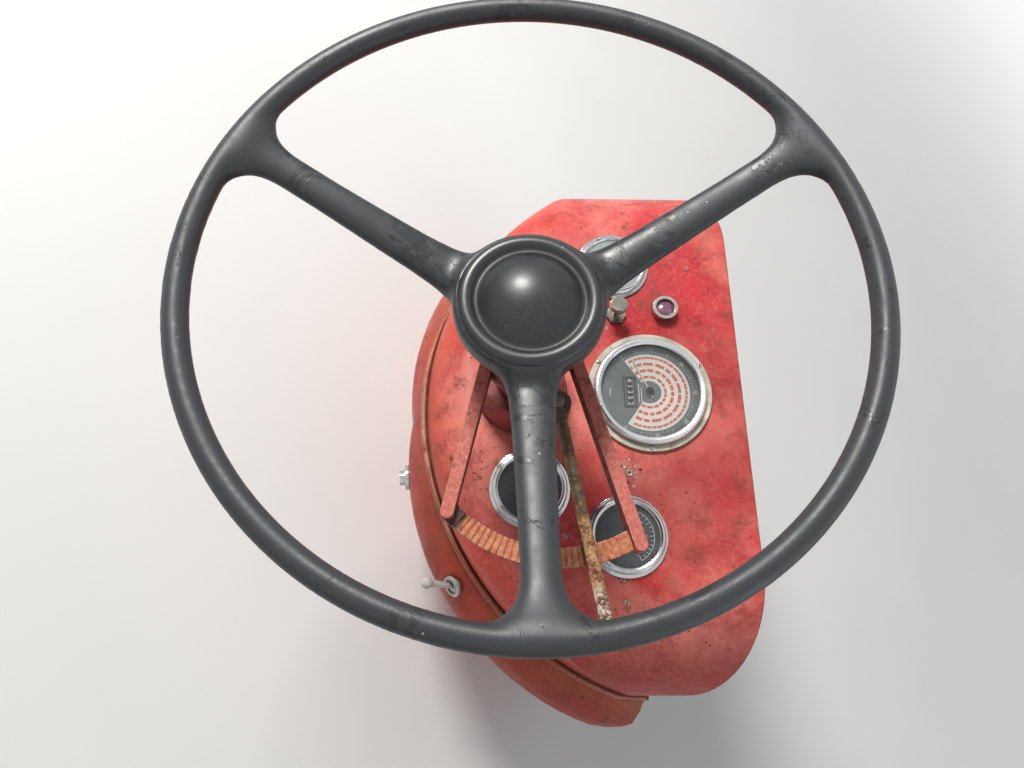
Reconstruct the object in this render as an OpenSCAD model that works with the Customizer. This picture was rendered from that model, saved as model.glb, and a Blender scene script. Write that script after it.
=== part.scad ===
// Steering console of an old farm tractor: hand wheel, column, hand throttle on its
// toothed sector, red sheet-metal cowl with gauges, and the steering box it stands on.
// +X forward, +Y to the tractor's left, +Z up, origin on the steering box's base.

/* [Column] */
// Lean of the column towards the driver, in degrees
column_tilt = 27; // [18:0.5:34]
// Distance along the column from the base to the plane of the wheel's rim
rim_height = 484; // [470:1:540]
// Outer diameter of the column tube
column_d = 45; // [40:0.5:50]
// Wall of the column tube
column_wall = 3.5; // [2.5:0.5:5]
// Diameter of the steering shaft
shaft_d = 22; // [18:0.5:26]
// Diameter of the collar where it stands on the panel
collar_d = 76; // [70:0.5:80]
// Diameter of the collar's upper end
collar_top_d = 66; // [58:0.5:72]
// Height of the collar above the panel
collar_h = 36; // [28:0.5:44]

/* [Steering wheel] */
// Outer diameter of the rim
wheel_d = 430; // [400:1:460]
// Thickness of the rim
rim_t = 16; // [14:0.5:20]
// Height of the rim above the gauge panel, along the column
wheel_above_panel = 200; // [190:1:230]
// Depth of the hub's top edge below the rim
hub_drop = 33; // [28:0.5:40]
// Outer diameter of the hub
hub_d = 100; // [96:0.5:108]
// Height of the hub from its top edge to its neck
hub_h = 39; // [36:0.5:44]
// Rounding of the hub's top edge
hub_round = 5; // [3:0.5:5]
// Diameter of the hub's neck
hub_neck_d = 60; // [54:0.5:66]
// Diameter of the cap in the hub
cap_d = 89; // [84:0.5:91]
// Diameter of the dome on the cap
cap_dome_d = 68; // [60:0.5:74]
// Height of the dome on the cap
cap_dome_h = 14; // [10:0.5:18]
// Radius of the roll round the dome
cap_roll = 6; // [5:0.25:7]
// Wall of the cap
cap_wall = 2.5; // [2:0.5:3.5]
// Width across the flats of the wheel nut
nut_af = 32; // [28:0.5:36]
// Height of the wheel nut
nut_h = 11; // [8:0.5:13]
// Narrowest width of a spoke
spoke_w = 23; // [18:0.5:28]
// Thickness of a spoke
spoke_t = 15; // [12:0.5:18]
// Direction of the right-hand spoke, from straight ahead
spoke_angle = 271; // [260:0.1:280]
// Angle from that spoke to each of the two others
spoke_spread = 117.6; // [116:0.1:122]

/* [Cowl] */
// Thickness of the sheet metal
sheet_t = 2; // [1.5:0.1:2.5]
// Half of the cowl's width
cowl_half_w = 239; // [235:1:250]
// Radius of the cowl's rounded back
drum_r = 250; // [246:1:258]
// Distance from the column to the centre of the rounded back, along the panel
drum_x = 168; // [162:1:174]
// Radius of the rolled edge around the panel
edge_r = 38; // [30:1:40]
// Radius of the two shoulders
shoulder_r = 92; // [80:1:95]
// Height of the seam between cowl and shroud
seam_z = 182; // [176:1:188]
// Place of the open front edge
front_x = 38; // [30:1:44]
// How far the lip at the seam stands out
lip_w = 5; // [3:0.5:7]
// Thickness of the lip
lip_t = 3; // [2:0.5:5]
// Width of the flanges that are turned in
flange_w = 15; // [12:0.5:20]

/* [Shroud] */
// How far the shroud's wall lies inside the seam at the back
tuck = 3; // [1:0.5:5]
// How much further out the wall stands at either side
flare = 32; // [24:1:38]
// Depth below the seam at which the wall stands out furthest
wall_h = 40; // [30:1:55]
// Size of the foot's outline, as a share of the wall's
foot_share = 0.68; // [0.67:0.005:0.7]

/* [Gauges] */
// Diameter of the large meter's chrome bezel
meter_d = 95; // [90:0.5:100]
// Diameter of the light ring around the large meter
meter_ring_d = 105; // [101:0.5:110]
// Place of the large meter, ahead of the column along the panel
meter_x = 108; // [102:0.5:110]
// Diameter of a small gauge's chrome bezel
gauge_d = 60; // [56:0.5:62]
// Diameter of a small gauge's base ring
gauge_ring_d = 65; // [62:0.5:66]
// Height of the bezels above the panel
bezel_h = 8; // [6:0.5:10]
// Depth of the large meter's can behind the panel
meter_depth = 62; // [50:1:70]
// Depth of a small gauge's can behind the panel
gauge_depth = 44; // [36:1:50]

/* [Small controls] */
// Diameter of the warning lamp
lamp_d = 22; // [18:0.5:26]
// Height of the warning lamp
lamp_h = 8; // [6:0.5:10]
// Diameter of the pull switch's knob
knob_d = 14; // [11:0.5:16]
// Length of the pull switch's stem
knob_stem = 17; // [13:0.5:22]
// Length of the toggle's lever
toggle_l = 30; // [24:0.5:36]
// Diameter of the push button
button_d = 20; // [16:0.5:24]

/* [Hand throttle] */
// Place of the lever's pivot ahead of the column
pivot_x = 21; // [19:0.5:24]
// Place of the lever's pivot to the right of the column
pivot_y = 50; // [46:0.5:50]
// Outer radius of the toothed sector
sector_r = 107.5; // [102:0.5:112]
// Width of the toothed sector
sector_w = 13; // [10:0.5:16]
// Thickness of the bracket
sector_t = 5; // [4:0.5:7]
// Height of the sector's top face above the panel
sector_z = 93; // [88:0.5:98]
// Angle of the sector's rear end
sector_a0 = 224; // [220:1:229]
// Angle of the sector's front end
sector_a1 = 299.5; // [296:0.5:305]
// Height of the bracket's two arms above the sector's top face
arm_rise = 6; // [3:0.5:8]
// Width of the bracket's arms
arm_w = 9; // [7:0.5:11]
// Angle from one tooth to the next
tooth_pitch = 2.5; // [2:0.1:4]
// Depth of a tooth gap
tooth_depth = 1.2; // [0.8:0.1:1.8]
// Diameter of the throttle shaft
throttle_d = 8; // [7:0.5:9]
// Diameter of the lever's rod
lever_d = 8; // [7:0.5:9]
// Length of the lever from its pivot
lever_l = 148; // [130:1:156]
// Direction of the lever as it stands
lever_a = 280; // [236:1:290]
// Rise of the lever towards its tip, in degrees
lever_rise = 5; // [3:0.5:8]

/* [Steering box] */
// Length of the base flange
base_l = 170; // [160:1:190]
// Width of the base flange
base_w = 150; // [140:1:170]
// Thickness of the base flange
base_t = 12; // [10:0.5:16]
// Distance between the base bolts, fore and aft
bolt_x = 144; // [140:1:146]
// Distance between the base bolts, across
bolt_y = 124; // [120:1:126]
// Diameter of the base bolt holes
bolt_d = 11; // [9:0.5:13]
// Height of the box's sloping top face along the column
box_top = 62; // [58:0.5:70]
// Width of the box
box_w = 96; // [90:1:104]
// Diameter of the cross shaft
cross_d = 28; // [24:0.5:30]
// Length of the cross shaft from end to end
cross_l = 208; // [200:1:230]
// Place of the cross shaft ahead of the column's base
cross_x = 32; // [30:0.5:36]
// Height of the cross shaft above the base
cross_z = 38; // [36:0.5:40]

/* [Hidden] */
$fn = 96;
fit = 0.05;             // radial room between pieces that turn or seat in each other
gap = 0.3;              // room between faces that pass each other
panel_s = rim_height - wheel_above_panel;       // the panel, along the column
column_r = column_d / 2;
shaft_r = shaft_d / 2;
hub_top = rim_height - hub_drop;
hub_floor = hub_top - 13;                       // the seat of the nut and cap
neck_s = hub_top - hub_h;
column_top = neck_s - 7;
foot_h = 38;                                    // height of the column's foot
foot_w = 92;
shaft_low = box_top - 16;                       // lower end of the steering shaft
meter_r = meter_d / 2;
gauge_r = gauge_d / 2;
can_r = meter_r - 2;
small_can_r = gauge_r - 3.5;
dial_t = 0.8;
glass_t = 2;
lever_z = sector_z + 9;                         // height of the lever's hub
boss_r = throttle_d / 2 + 5;
// The bracket's arms: where each one's middle line begins and ends on the panel
ARMS = [[[-26.5, -8], [-53, -122]], [[34.5, -8], [74, -143]]];
// Small gauges: place ahead of the column, place to its left, needle's angle
GAUGES = [[82, 121, 150], [82, -121, 40], [6, -83.5, 20]];
lamp_at = [126, 77];
knob_at = [83, 72];
// Facet of the shroud that carries the toggle and the button: its direction from the
// back, its lower ring, and how far above its middle the piece sits
TOGGLE = [-39.375, 3, 12];
BUTTON = [-13.125, 1, 0];
toggle_lean = [32, -6];                        // lean of the toggle's lever off its nut's axis
// Bolt holes in the shroud's feet, ahead of the base and to either side
FEET = [[15, 171], [-84, 96]];
// Rings of the shroud: depth below the seam, share of the flare, size of the outline
SHROUD = [[seam_z, 1, foot_share], [wall_h + 36, 1, 0.945], [wall_h + 14, 1, 0.985],
    [wall_h, 1, 1], [24, 0.88, 1], [11, 0.5, 1], [0, 0, 1]];
ring_step = 3.75;                               // from one point of the shroud's rings to the next
front_pitch = 90;                               // between the cowl's front bolt holes
// Sections of a spoke: distance from the wheel's centre, half width over spoke_w / 2,
// half thickness over spoke_t / 2, height as a share of the hub's drop
SPOKE = [[36, 1.9, 1.2, -1.5], [53.5, 1.55, 1.13, -1.43], [62, 1.36, 1.08, -1.38],
    [80, 1.22, 1.02, -1.24], [110, 1.12, 1, -0.98], [145, 1.02, 0.96, -0.65],
    [175, 1, 0.94, -0.36], [186, 1.16, 0.94, -0.24], [192.5, 1.6, 0.95, -0.15],
    [196.5, 2.3, 0.96, -0.08], [201, 3.3, 0.9, 0]];
spoke_n = 24;

module on_column(s = 0) rotate([0, -column_tilt, 0]) translate([0, 0, s]) children();
module on_panel(p = [0, 0], z = 0) on_column(panel_s) translate([p[0], p[1], z]) children();
module ring(r1, r0, h) difference() {
    cylinder(h = h, r = r1);
    translate([0, 0, -1]) cylinder(h = h + 2, r = r0);
}

// The hand wheel: one moulding of rim, three spokes and hub
function oval(w, t) = [for (i = [0:spoke_n - 1]) let (a = 360 * i / spoke_n)
    [w * sign(cos(a)) * pow(abs(cos(a)), 0.8), t * sign(sin(a)) * pow(abs(sin(a)), 0.9)]];
// Solid through closed rings of points, each with its halves mirrored about its middle point
module skin(rings) {
    n = len(rings[0]);
    last = (len(rings) - 1) * n;
    cap = concat([for (i = [0:n - 1]) if (i + 1 < n - 1 - i) [i, i + 1, n - 1 - i]],
        [for (i = [0:n - 1]) if (i + 1 < n - 2 - i) [i + 1, n - 2 - i, n - 1 - i]]);
    sides = [for (j = [0:len(rings) - 2]) for (i = [0:n - 1]) let (m = (i + 1) % n, q = j * n)
        [[q + m, q + i, q + n + i], [q + m, q + n + i, q + n + m]]];
    polyhedron(points = [for (r = rings) for (p = r) p], faces = concat(cap,
        [for (c = cap) [last + c[2], last + c[1], last + c[0]]],
        [for (f = sides) f[0]], [for (f = sides) f[1]]));
}
module spoke() {
    stretch = wheel_d / 430;
    skin([for (s = SPOKE) [for (p = oval(s[1] * spoke_w / 2, s[2] * spoke_t / 2))
        [s[0] * (s[0] < 100 ? 1 : stretch), p[0], p[1] + s[3] * hub_drop]]]);
}
module steering_wheel() color("#26282b") on_column() difference() {
    union() {
        translate([0, 0, rim_height]) {
            rotate_extrude($fn = 144) translate([wheel_d / 2 - rim_t / 2, 0]) circle(r = rim_t / 2, $fn = 32);
            for (i = [-1:1]) rotate(spoke_angle + spoke_spread * i) spoke();
        }
        rotate_extrude() {
            translate([0, neck_s]) square([hub_neck_d / 2, hub_h - 1]);
            polygon([[0, neck_s + 4], [hub_neck_d / 2, neck_s + 4], [hub_d / 2 - 3, hub_top - 21],
                [hub_d / 2, hub_top - 17], [hub_d / 2, hub_top - hub_round], [0, hub_top - hub_round]]);
            translate([0, hub_top - hub_round]) square([hub_d / 2 - hub_round, hub_round]);
            translate([hub_d / 2 - hub_round, hub_top - hub_round]) circle(r = hub_round, $fn = 48);
        }
    }
    translate([0, 0, hub_floor]) cylinder(h = 60, r = cap_d / 2 + 3 * fit);
    translate([0, 0, neck_s - 1]) cylinder(h = hub_h, r = shaft_r + fit);
}
module hub_cap() color("#17181a") on_column(hub_top) {
    dome_r = (cap_dome_d * cap_dome_d / 4 + cap_dome_h * cap_dome_h) / (2 * cap_dome_h);
    difference() {
        rotate_extrude() {
            translate([cap_d / 2 - cap_wall, -13]) square([cap_wall, 10]);
            translate([0, -3]) square([cap_d / 2 - 4, 2]);
            intersection() {
                translate([cap_d / 2 - 3.5, 1.8 - cap_roll]) circle(r = cap_roll, $fn = 96);
                translate([0, -8]) square([cap_d / 2, 12]);
            }
            intersection() {
                translate([0, cap_dome_h - 1.5 - dome_r]) circle(r = dome_r, $fn = 160);
                translate([0, -2.5]) square([cap_dome_d / 2, cap_dome_h + 6]);
            }
        }
        intersection() {
            translate([0, 0, cap_dome_h - 1.5 - dome_r]) sphere(r = dome_r - cap_wall);
            translate([0, 0, -4]) cylinder(h = 40, r = cap_dome_d / 2 - cap_wall);
        }
    }
}
module wheel_nut() color("#6f6a60") on_column(hub_floor) difference() {
    cylinder(h = nut_h, r = nut_af / sqrt(3), $fn = 6);
    translate([0, 0, -1]) cylinder(h = nut_h + 2, r = shaft_r + fit);
}
module steering_shaft() color("#8d8f90") on_column(shaft_low)
    cylinder(h = hub_floor + nut_h + 2 - shaft_low, r = shaft_r);

// The column
module column_foot() color("#6e7072") on_column(box_top) difference() {
    union() {
        translate([-foot_w / 2 + 10, -foot_w / 2, 0]) cube([foot_w - 20, foot_w, 11]);
        translate([-foot_w / 2, -foot_w / 2 + 10, 0]) cube([foot_w, foot_w - 20, 11]);
        for (x = [-1, 1], y = [-1, 1]) translate([x, y, 0] * (foot_w / 2 - 10)) cylinder(h = 11, r = 10);
        cylinder(h = foot_h, r = column_r + 9);
        cylinder(h = 20, r1 = column_r + 17, r2 = column_r + 9);
    }
    translate([0, 0, 14]) cylinder(h = foot_h, r = column_r + fit);
    translate([0, 0, -1]) cylinder(h = 20, r = shaft_r + fit);
    for (x = [-1, 1], y = [-1, 1]) translate([x * (foot_w / 2 - 10), y * (foot_w / 2 - 10), -1])
        cylinder(h = 14, r = 4.5);
}
module column_tube() color("#7d2b26") on_column(box_top + 14)
    ring(column_r, column_r - column_wall, column_top - box_top - 14);
module column_bush() color("#2b2a28") on_column(column_top - 26)
    ring(column_r - column_wall - fit, shaft_r + fit, 26);
module column_collar() color("#8a2f30") on_panel() difference() {
    union() {
        cylinder(h = collar_h, d1 = collar_d, d2 = collar_top_d);
        cylinder(h = 3, d = collar_d);
    }
    translate([0, 0, -1]) cylinder(h = collar_h + 2, r = column_r + fit);
}

// The cowl: a round-backed lid with two shoulders, cut level at the seam and upright in front.
// o is how far the surface lies inside the outer skin
module cowl_form(o, low = 0) {
    deep = 420;
    w = cowl_half_w - o;
    sh = shoulder_r - o;
    e = edge_r - o;
    r = drum_r - o;
    intersection() {
        on_panel([drum_x, 0]) rotate_extrude($fn = 180) {
            translate([0, -deep]) square([r, deep - o - e]);
            translate([0, -deep]) square([r - e, deep - o]);
            translate([r - e, -o - e]) circle(r = e, $fn = 64);
        }
        on_panel() translate([-200, 0, 0]) rotate([90, 0, 90]) linear_extrude(700) {
            translate([-w, -deep]) square([2 * w, deep - o - sh]);
            translate([-w + sh, -deep]) square([2 * (w - sh), deep - o]);
            for (s = [-1, 1]) translate([s * (w - sh), -o - sh]) circle(r = sh, $fn = 128);
        }
        translate([-400, -400, seam_z - low]) cube([400 + front_x, 800, 400]);
    }
}
module cowl_panel() color("#c8473f") difference() {
    union() {
        difference() {
            cowl_form(0);
            cowl_form(sheet_t, 1);
            translate([front_x - sheet_t, -w_in(), seam_z - 1]) cube([40, 2 * w_in(), 1.5]);
        }
        // lip that turns out at the seam
        difference() {
            intersection() {
                cowl_form(-lip_w);
                translate([-400, -400, seam_z]) cube([400 + front_x, 800, lip_t]);
            }
            cowl_form(sheet_t, 1);
        }
        // flange that turns in along the open front
        difference() {
            intersection() {
                cowl_form(sheet_t / 2);
                translate([front_x - sheet_t, -400, seam_z]) cube([sheet_t, 800, 400]);
            }
            translate([1, 0, 0]) cowl_form(sheet_t + flange_w, 1);
        }
    }
    on_panel([0, 0], -20) cylinder(h = 40, r = column_r + 2);
    on_panel([meter_x, 0], -20) cylinder(h = 40, r = can_r + gap);
    for (g = GAUGES) on_panel([g[0], g[1]], -20) cylinder(h = 40, r = small_can_r + gap);
    on_panel(lamp_at, -20) cylinder(h = 40, r = lamp_d / 2 - 2 + gap);
    on_panel(knob_at, -20) cylinder(h = 40, r = 6 + gap);
    on_panel([pivot_x, -pivot_y], -20) cylinder(h = 40, r = throttle_d / 2 + 1);
    for (i = [-1.5:1.5]) translate([front_x - sheet_t - 1, i * front_pitch, front_hole_z]) rotate([0, 90, 0])
        cylinder(h = sheet_t + 2, r = 3.5, $fn = 32);
}
function w_in() = cowl_half_w - sheet_t - 1;
// Height of the panel's front edge, and of the bolt holes in the flange below it
panel_front_z = (panel_s + front_x * sin(column_tilt)) / cos(column_tilt);
front_hole_z = panel_front_z - sheet_t - flange_w / 2 - 2;

// The shroud: its wall flares out below the seam, most at the two sides, then runs in to the foot.
// a runs from the back, 0, to the front edge at 90 degrees on either side
seam_drop = panel_s * cos(column_tilt) - seam_z;
drum_seam_x = -panel_s * sin(column_tilt) + drum_x * cos(column_tilt)
    + (drum_x * sin(column_tilt) + seam_drop) * tan(column_tilt);
drum_a = drum_r / cos(column_tilt);
// Distance of the seam's ellipse, and of the cowl's side walls, from the middle of the front edge
function seam_reach(a) = let (m = front_x - drum_seam_x, u = pow(cos(a) / drum_a, 2) + pow(sin(a) / drum_r, 2),
    v = -m * cos(a) / (drum_a * drum_a), w = m * m / (drum_a * drum_a) - 1)
    min((-v + sqrt(v * v - u * w)) / u, cowl_half_w / max(abs(sin(a)), 0.01));
function reach(a, row) = (seam_reach(a) + row[1] * (flare * abs(sin(a)) - tuck)) * row[2];
// One ring of the outline, o inside the skin and standing out past the front by out
function outline(row, o, out = 0) = concat(
    out > 0 ? [[front_x + out, reach(90, row) - o]] : [],
    [for (a = [90:-ring_step:-90]) let (r = reach(a, row) - o) [front_x - r * cos(a), r * sin(a)]],
    out > 0 ? [[front_x + out, -reach(-90, row) + o]] : []);
// The shoulder of the inner surface lies lower by the thickness too
module shroud_form(o, out, bottom) skin([for (row = SHROUD) let (z = max(seam_z - row[0], bottom))
    [for (p = outline(row, o, out)) [p[0], p[1], z - (row[0] < wall_h ? o : 0)]]]);
module lower_shroud() color("#b8443d") difference() {
    shroud_form(0, 0, 0);
    shroud_form(sheet_t, 3, sheet_t);
    // openings inside the turned-in flanges at the top and the bottom
    translate([0, 0, seam_z - 6]) linear_extrude(12) polygon(outline(SHROUD[6], flange_w - 3, 3));
    translate([0, 0, -3]) linear_extrude(sheet_t + 4) polygon(outline(SHROUD[0], flange_w + 2, 3));
    for (f = FEET, y = [-1, 1]) translate([f[0], y * f[1], -1]) cylinder(h = 9, r = 4, $fn = 32);
    at_facet(TOGGLE, -25) cylinder(h = 50, r = 6 + gap);
    at_facet(BUTTON, -20) cylinder(h = 40, r = button_d / 2 - 2);
}
function on_skin(a, row) = let (r = reach(a, row)) [front_x - r * cos(a), r * sin(a), seam_z - row[0]];
// The middle of a facet of the skin, with Z along its outward normal
module at_facet(f, z) {
    p = on_skin(f[0] - ring_step / 2, SHROUD[f[1]]);
    q = on_skin(f[0] + ring_step / 2, SHROUD[f[1]]);
    r = on_skin(f[0] - ring_step / 2, SHROUD[f[1] + 1]);
    s = on_skin(f[0] + ring_step / 2, SHROUD[f[1] + 1]);
    up = r + s - p - q;
    n = cross(up, q - p);
    translate((p + q + r + s) / 4 + f[2] * up / norm(up))
        rotate([0, acos(n[2] / norm(n)), atan2(n[1], n[0])]) translate([0, 0, z]) children();
}
// The large meter
module meter_can() color("#3b3d40") on_panel([meter_x, 0], -meter_depth) {
    cylinder(h = meter_depth, r = can_r);
    translate([0, 0, -8]) cylinder(h = 8, r = 9);
}
module meter_ring() color("#e4dfcd") on_panel([meter_x, 0]) ring(meter_ring_d / 2, can_r + 0.4 + fit, 3);
module meter_bezel() color("#c9ccce") on_panel([meter_x, 0]) rotate_extrude() polygon([
    [can_r - 1.3, 0], [can_r + 0.4, 0], [can_r + 0.4, 3], [meter_r, 3], [meter_r, bezel_h - 1.5],
    [meter_r - 1, bezel_h], [meter_r - 2.8, bezel_h + 0.8], [meter_r - 5, bezel_h + 0.2],
    [meter_r - 6, bezel_h - 1], [meter_r - 6, bezel_h - 2], [can_r - 1.3, bezel_h - 2]]);
module meter_dial() color("#8f9496") on_panel([meter_x, 0]) difference() {
    cylinder(h = dial_t, r = can_r - 1.5);
    // the counter's window
    translate([-21, -13, -1]) cube([9, 26, 4]);
}
module meter_needle() color("#d9d2bf") on_panel([meter_x, 0], dial_t) {
    cylinder(h = 2, r = 3.5);
    translate([0, 0, 1]) rotate(114) translate([-6, -0.6, 0]) cube([38, 1.2, 0.8]);
}
module meter_glass() color("#dfe9ea") on_panel([meter_x, 0], bezel_h - 2 - glass_t)
    cylinder(h = glass_t, r = can_r - 1.5);

// The three small gauges
module gauge_cans() color("#3b3d40") for (g = GAUGES) on_panel([g[0], g[1]], -gauge_depth)
    cylinder(h = gauge_depth, r = small_can_r);
module gauge_bezels() color("#c9ccce") for (g = GAUGES) on_panel([g[0], g[1]]) rotate_extrude() polygon([
    [small_can_r + gap, 0], [gauge_ring_d / 2, 0], [gauge_ring_d / 2, 1.6], [gauge_r, 2.2],
    [gauge_r, bezel_h - 2.5], [gauge_r - 1, bezel_h - 1.2], [gauge_r - 2.5, bezel_h - 0.8],
    [gauge_r - 4, bezel_h - 1.4], [gauge_r - 4.8, bezel_h - 2.4], [gauge_r - 4.8, bezel_h - 3],
    [small_can_r + gap, bezel_h - 3]]);
module gauge_dials() color("#1d1f22") for (g = GAUGES) on_panel([g[0], g[1]])
    cylinder(h = dial_t, r = small_can_r);
module gauge_needles() color("#e8e6df") for (g = GAUGES) on_panel([g[0], g[1]], dial_t) {
    cylinder(h = 1.6, r = 3);
    translate([0, 0, 0.6]) rotate(g[2]) translate([0, -0.6, 0]) cube([17, 1.2, 0.7]);
}
module gauge_glasses() color("#dfe9ea") for (g = GAUGES) on_panel([g[0], g[1]], bezel_h - 3 - glass_t)
    cylinder(h = glass_t, r = small_can_r);

// Lamp, pull switch, toggle and button
module lamp_bezel() color("#c9ccce") on_panel(lamp_at) {
    ring(lamp_d / 2, lamp_d / 2 - 2.8 + fit, lamp_h);
    translate([0, 0, -22]) cylinder(h = 22, r = lamp_d / 2 - 2);
}
module lamp_lens() color("#6a2138") on_panel(lamp_at) {
    cylinder(h = lamp_h - 3, r = lamp_d / 2 - 2.8);
    intersection() {
        translate([0, 0, lamp_h - 3 - 12]) sphere(r = 14);
        translate([0, 0, lamp_h - 3.5]) cylinder(h = 3, r = lamp_d / 2 - 2.8);
    }
}
module pull_switch() color("#b5b6b3") on_panel(knob_at) {
    translate([0, 0, -32]) cylinder(h = 32, r = 6);
    cylinder(h = 3.5, r = 9, $fn = 6);
    cylinder(h = knob_stem, r = 2.5);
    translate([0, 0, knob_stem]) rotate_extrude() {
        square([knob_d / 2, 6]);
        translate([0, 1.5]) square([knob_d / 2 + 0.8, 3]);
    }
}
module toggle_switch() color("#d6d6d2") at_facet(TOGGLE, 0.1) {
    translate([0, 0, -24]) cylinder(h = 25, r = 6);
    ring(9.2, 6.4, 3);
    cylinder(h = 1.6, r = 7);
    rotate([toggle_lean[0], toggle_lean[1], 0]) {
        cylinder(h = toggle_l - 3, r1 = 2.2, r2 = 3.4);
        translate([0, 0, toggle_l - 3]) sphere(r = 4.8, $fn = 48);
    }
}
module push_button() color("#c9ccce") at_facet(BUTTON, 0.1) {
    translate([0, 0, -18]) cylinder(h = 20, r = button_d / 2 - 2 - gap);
    cylinder(h = 3.5, r = button_d / 2 + 1.5);
    cylinder(h = 8.5, r = button_d / 2 - 3);
}

// The hand throttle
function polar(r, a) = [pivot_x + r * cos(a), -pivot_y + r * sin(a), 0];
module bar_plan(p, q, w) translate([p[0], p[1]]) rotate(atan2(q[1] - p[1], q[0] - p[0])) {
    translate([0, -w / 2]) square([norm([q[0] - p[0], q[1] - p[1]]), w]);
    circle(r = w / 2, $fn = 48);
    translate([norm([q[0] - p[0], q[1] - p[1]]), 0]) circle(r = w / 2, $fn = 48);
}
module throttle_bracket() color("#c4553f") on_panel([0, 0], sector_z - sector_t) difference() {
    union() {
        linear_extrude(sector_t) {
            bar_plan([8, -24], [pivot_x, -pivot_y], 13);
            translate([pivot_x, -pivot_y]) intersection() {
                difference() {
                    circle(r = sector_r, $fn = 192);
                    circle(r = sector_r - sector_w, $fn = 192);
                }
                polygon([[0, 0], for (a = [0:3]) let (b = sector_a0 + (sector_a1 - sector_a0) * a / 3)
                    2 * sector_r * [cos(b), sin(b)]]);
            }
        }
        translate([0, 0, -4]) linear_extrude(sector_t + arm_rise + 4) for (arm = ARMS) bar_plan(arm[0], arm[1], arm_w);
        translate([0, 0, -7]) cylinder(h = 19, r = column_r + 11);
        translate([pivot_x, -pivot_y, -5]) cylinder(h = 13, r = boss_r);
    }
    translate([0, 0, -30]) cylinder(h = 60, r = column_r + fit);
    translate([pivot_x, -pivot_y, -30]) cylinder(h = 60, r = throttle_d / 2 + fit);
    // clamp slit
    translate([-1, column_r - 1, -20]) cube([2, 20, 50]);
    // the row of tooth gaps
    translate([pivot_x, -pivot_y, sector_t]) for (a = [sector_a0 + 6:tooth_pitch:sector_a1 - 6])
        rotate(a) translate([sector_r - sector_w - 1, 0, 0]) rotate([45, 0, 0])
            translate([0, -tooth_depth * 0.7, -tooth_depth * 0.7])
                cube([sector_w + 2, tooth_depth * 1.4, tooth_depth * 1.4]);
}
module throttle_lever() color("#8a6a3a") on_panel([pivot_x, -pivot_y], lever_z) difference() {
    union() {
        cylinder(h = 9, r = boss_r);
        translate([0, 0, 4.5]) rotate([0, -lever_rise, lever_a]) rotate([0, 90, 0]) {
            cylinder(h = lever_l, r = lever_d / 2);
            translate([0, 0, lever_l]) sphere(r = lever_d / 2, $fn = 48);
        }
    }
    translate([0, 0, -1]) cylinder(h = 12, r = throttle_d / 2 + fit);
}
module throttle_shaft() color("#77706a") on_panel([pivot_x, -pivot_y]) {
    translate([0, 0, -70]) cylinder(h = 70 + lever_z + 12, r = throttle_d / 2);
    translate([0, 0, -70]) rotate(lever_a + 60) {
        translate([0, -6, 0]) cube([34, 12, 4]);
        cylinder(h = 8, r = 8);
        translate([34, 0, 0]) cylinder(h = 4, r = 6);
    }
}
module throttle_pawl() color("#8d8a84") on_panel([pivot_x, -pivot_y], lever_z) rotate(lever_a) {
    difference() {
        translate([0, -2.5, -1.2]) cube([sector_r + 4, 5, 1.2]);
        translate([0, 0, -1.2]) cylinder(h = 1.2, r = boss_r - 1);
        translate([0, 0, -2]) cylinder(h = 4, r = throttle_d / 2 + fit);
    }
    translate([sector_r - sector_w, -2.5, sector_z - lever_z + gap]) cube([sector_w, 5, lever_z - sector_z - 1 - gap]);
}

// The steering box and its cross shaft
module steering_box() color("#6e7072") difference() {
    union() {
        translate([-base_l / 2 + 12, -base_w / 2, 0]) cube([base_l - 24, base_w, base_t]);
        translate([-base_l / 2, -base_w / 2 + 12, 0]) cube([base_l, base_w - 24, base_t]);
        for (x = [-1, 1], y = [-1, 1]) translate([x * (base_l / 2 - 12), y * (base_w / 2 - 12), 0])
            cylinder(h = base_t, r = 12);
        intersection() {
            translate([-70, -box_w / 2, 0]) cube([134, box_w, 110]);
            on_column(box_top - 200) translate([-300, -200, 0]) cube([600, 400, 200]);
            rotate([0, 32, 0]) translate([-200, -200, -100]) cube([400, 400, 186]);
        }
        translate([cross_x, 0, cross_z]) rotate([90, 0, 0]) cylinder(h = cross_l - 54, r = cross_d / 2 + 12, center = true);
        for (y = [-1, 1]) translate([cross_x - 4, y * (box_w / 2 + 14) - 14, base_t]) cube([8, 28, cross_z - base_t]);
    }
    translate([cross_x, 0, cross_z]) rotate([90, 0, 0]) cylinder(h = cross_l, r = cross_d / 2 + fit, center = true);
    on_column(shaft_low - 3) cylinder(h = 80, r = shaft_r + fit);
    for (x = [-1, 1], y = [-1, 1]) translate([x * bolt_x / 2, y * bolt_y / 2, -1])
        cylinder(h = base_t + 2, r = bolt_d / 2);
}
module cross_shaft() color("#8d8f90") translate([cross_x, 0, cross_z]) rotate([90, 0, 0])
    difference() {
        cylinder(h = cross_l, r = cross_d / 2, center = true);
        for (s = [-1, 1], a = [0:20:340]) rotate(a) translate([cross_d / 2, 0, s * (cross_l / 2 - 9)])
            rotate(45) cube([0.8, 0.8, 20], center = true);
    }

steering_box();
column_foot();
column_tube();
column_bush();
column_collar();
cowl_panel();
lower_shroud();
meter_can();
meter_ring();
meter_bezel();
meter_dial();
meter_needle();
meter_glass();
gauge_cans();
gauge_bezels();
gauge_dials();
gauge_needles();
gauge_glasses();
lamp_bezel();
lamp_lens();
pull_switch();
toggle_switch();
push_button();
throttle_bracket();
throttle_lever();
throttle_shaft();
throttle_pawl();
steering_wheel();
hub_cap();
wheel_nut();
steering_shaft();
cross_shaft();
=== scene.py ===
"""Looks of the tractor steering console: materials, small fittings, camera, floor and light."""
import bpy, bmesh, math, random
from mathutils import Matrix, Vector


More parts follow.
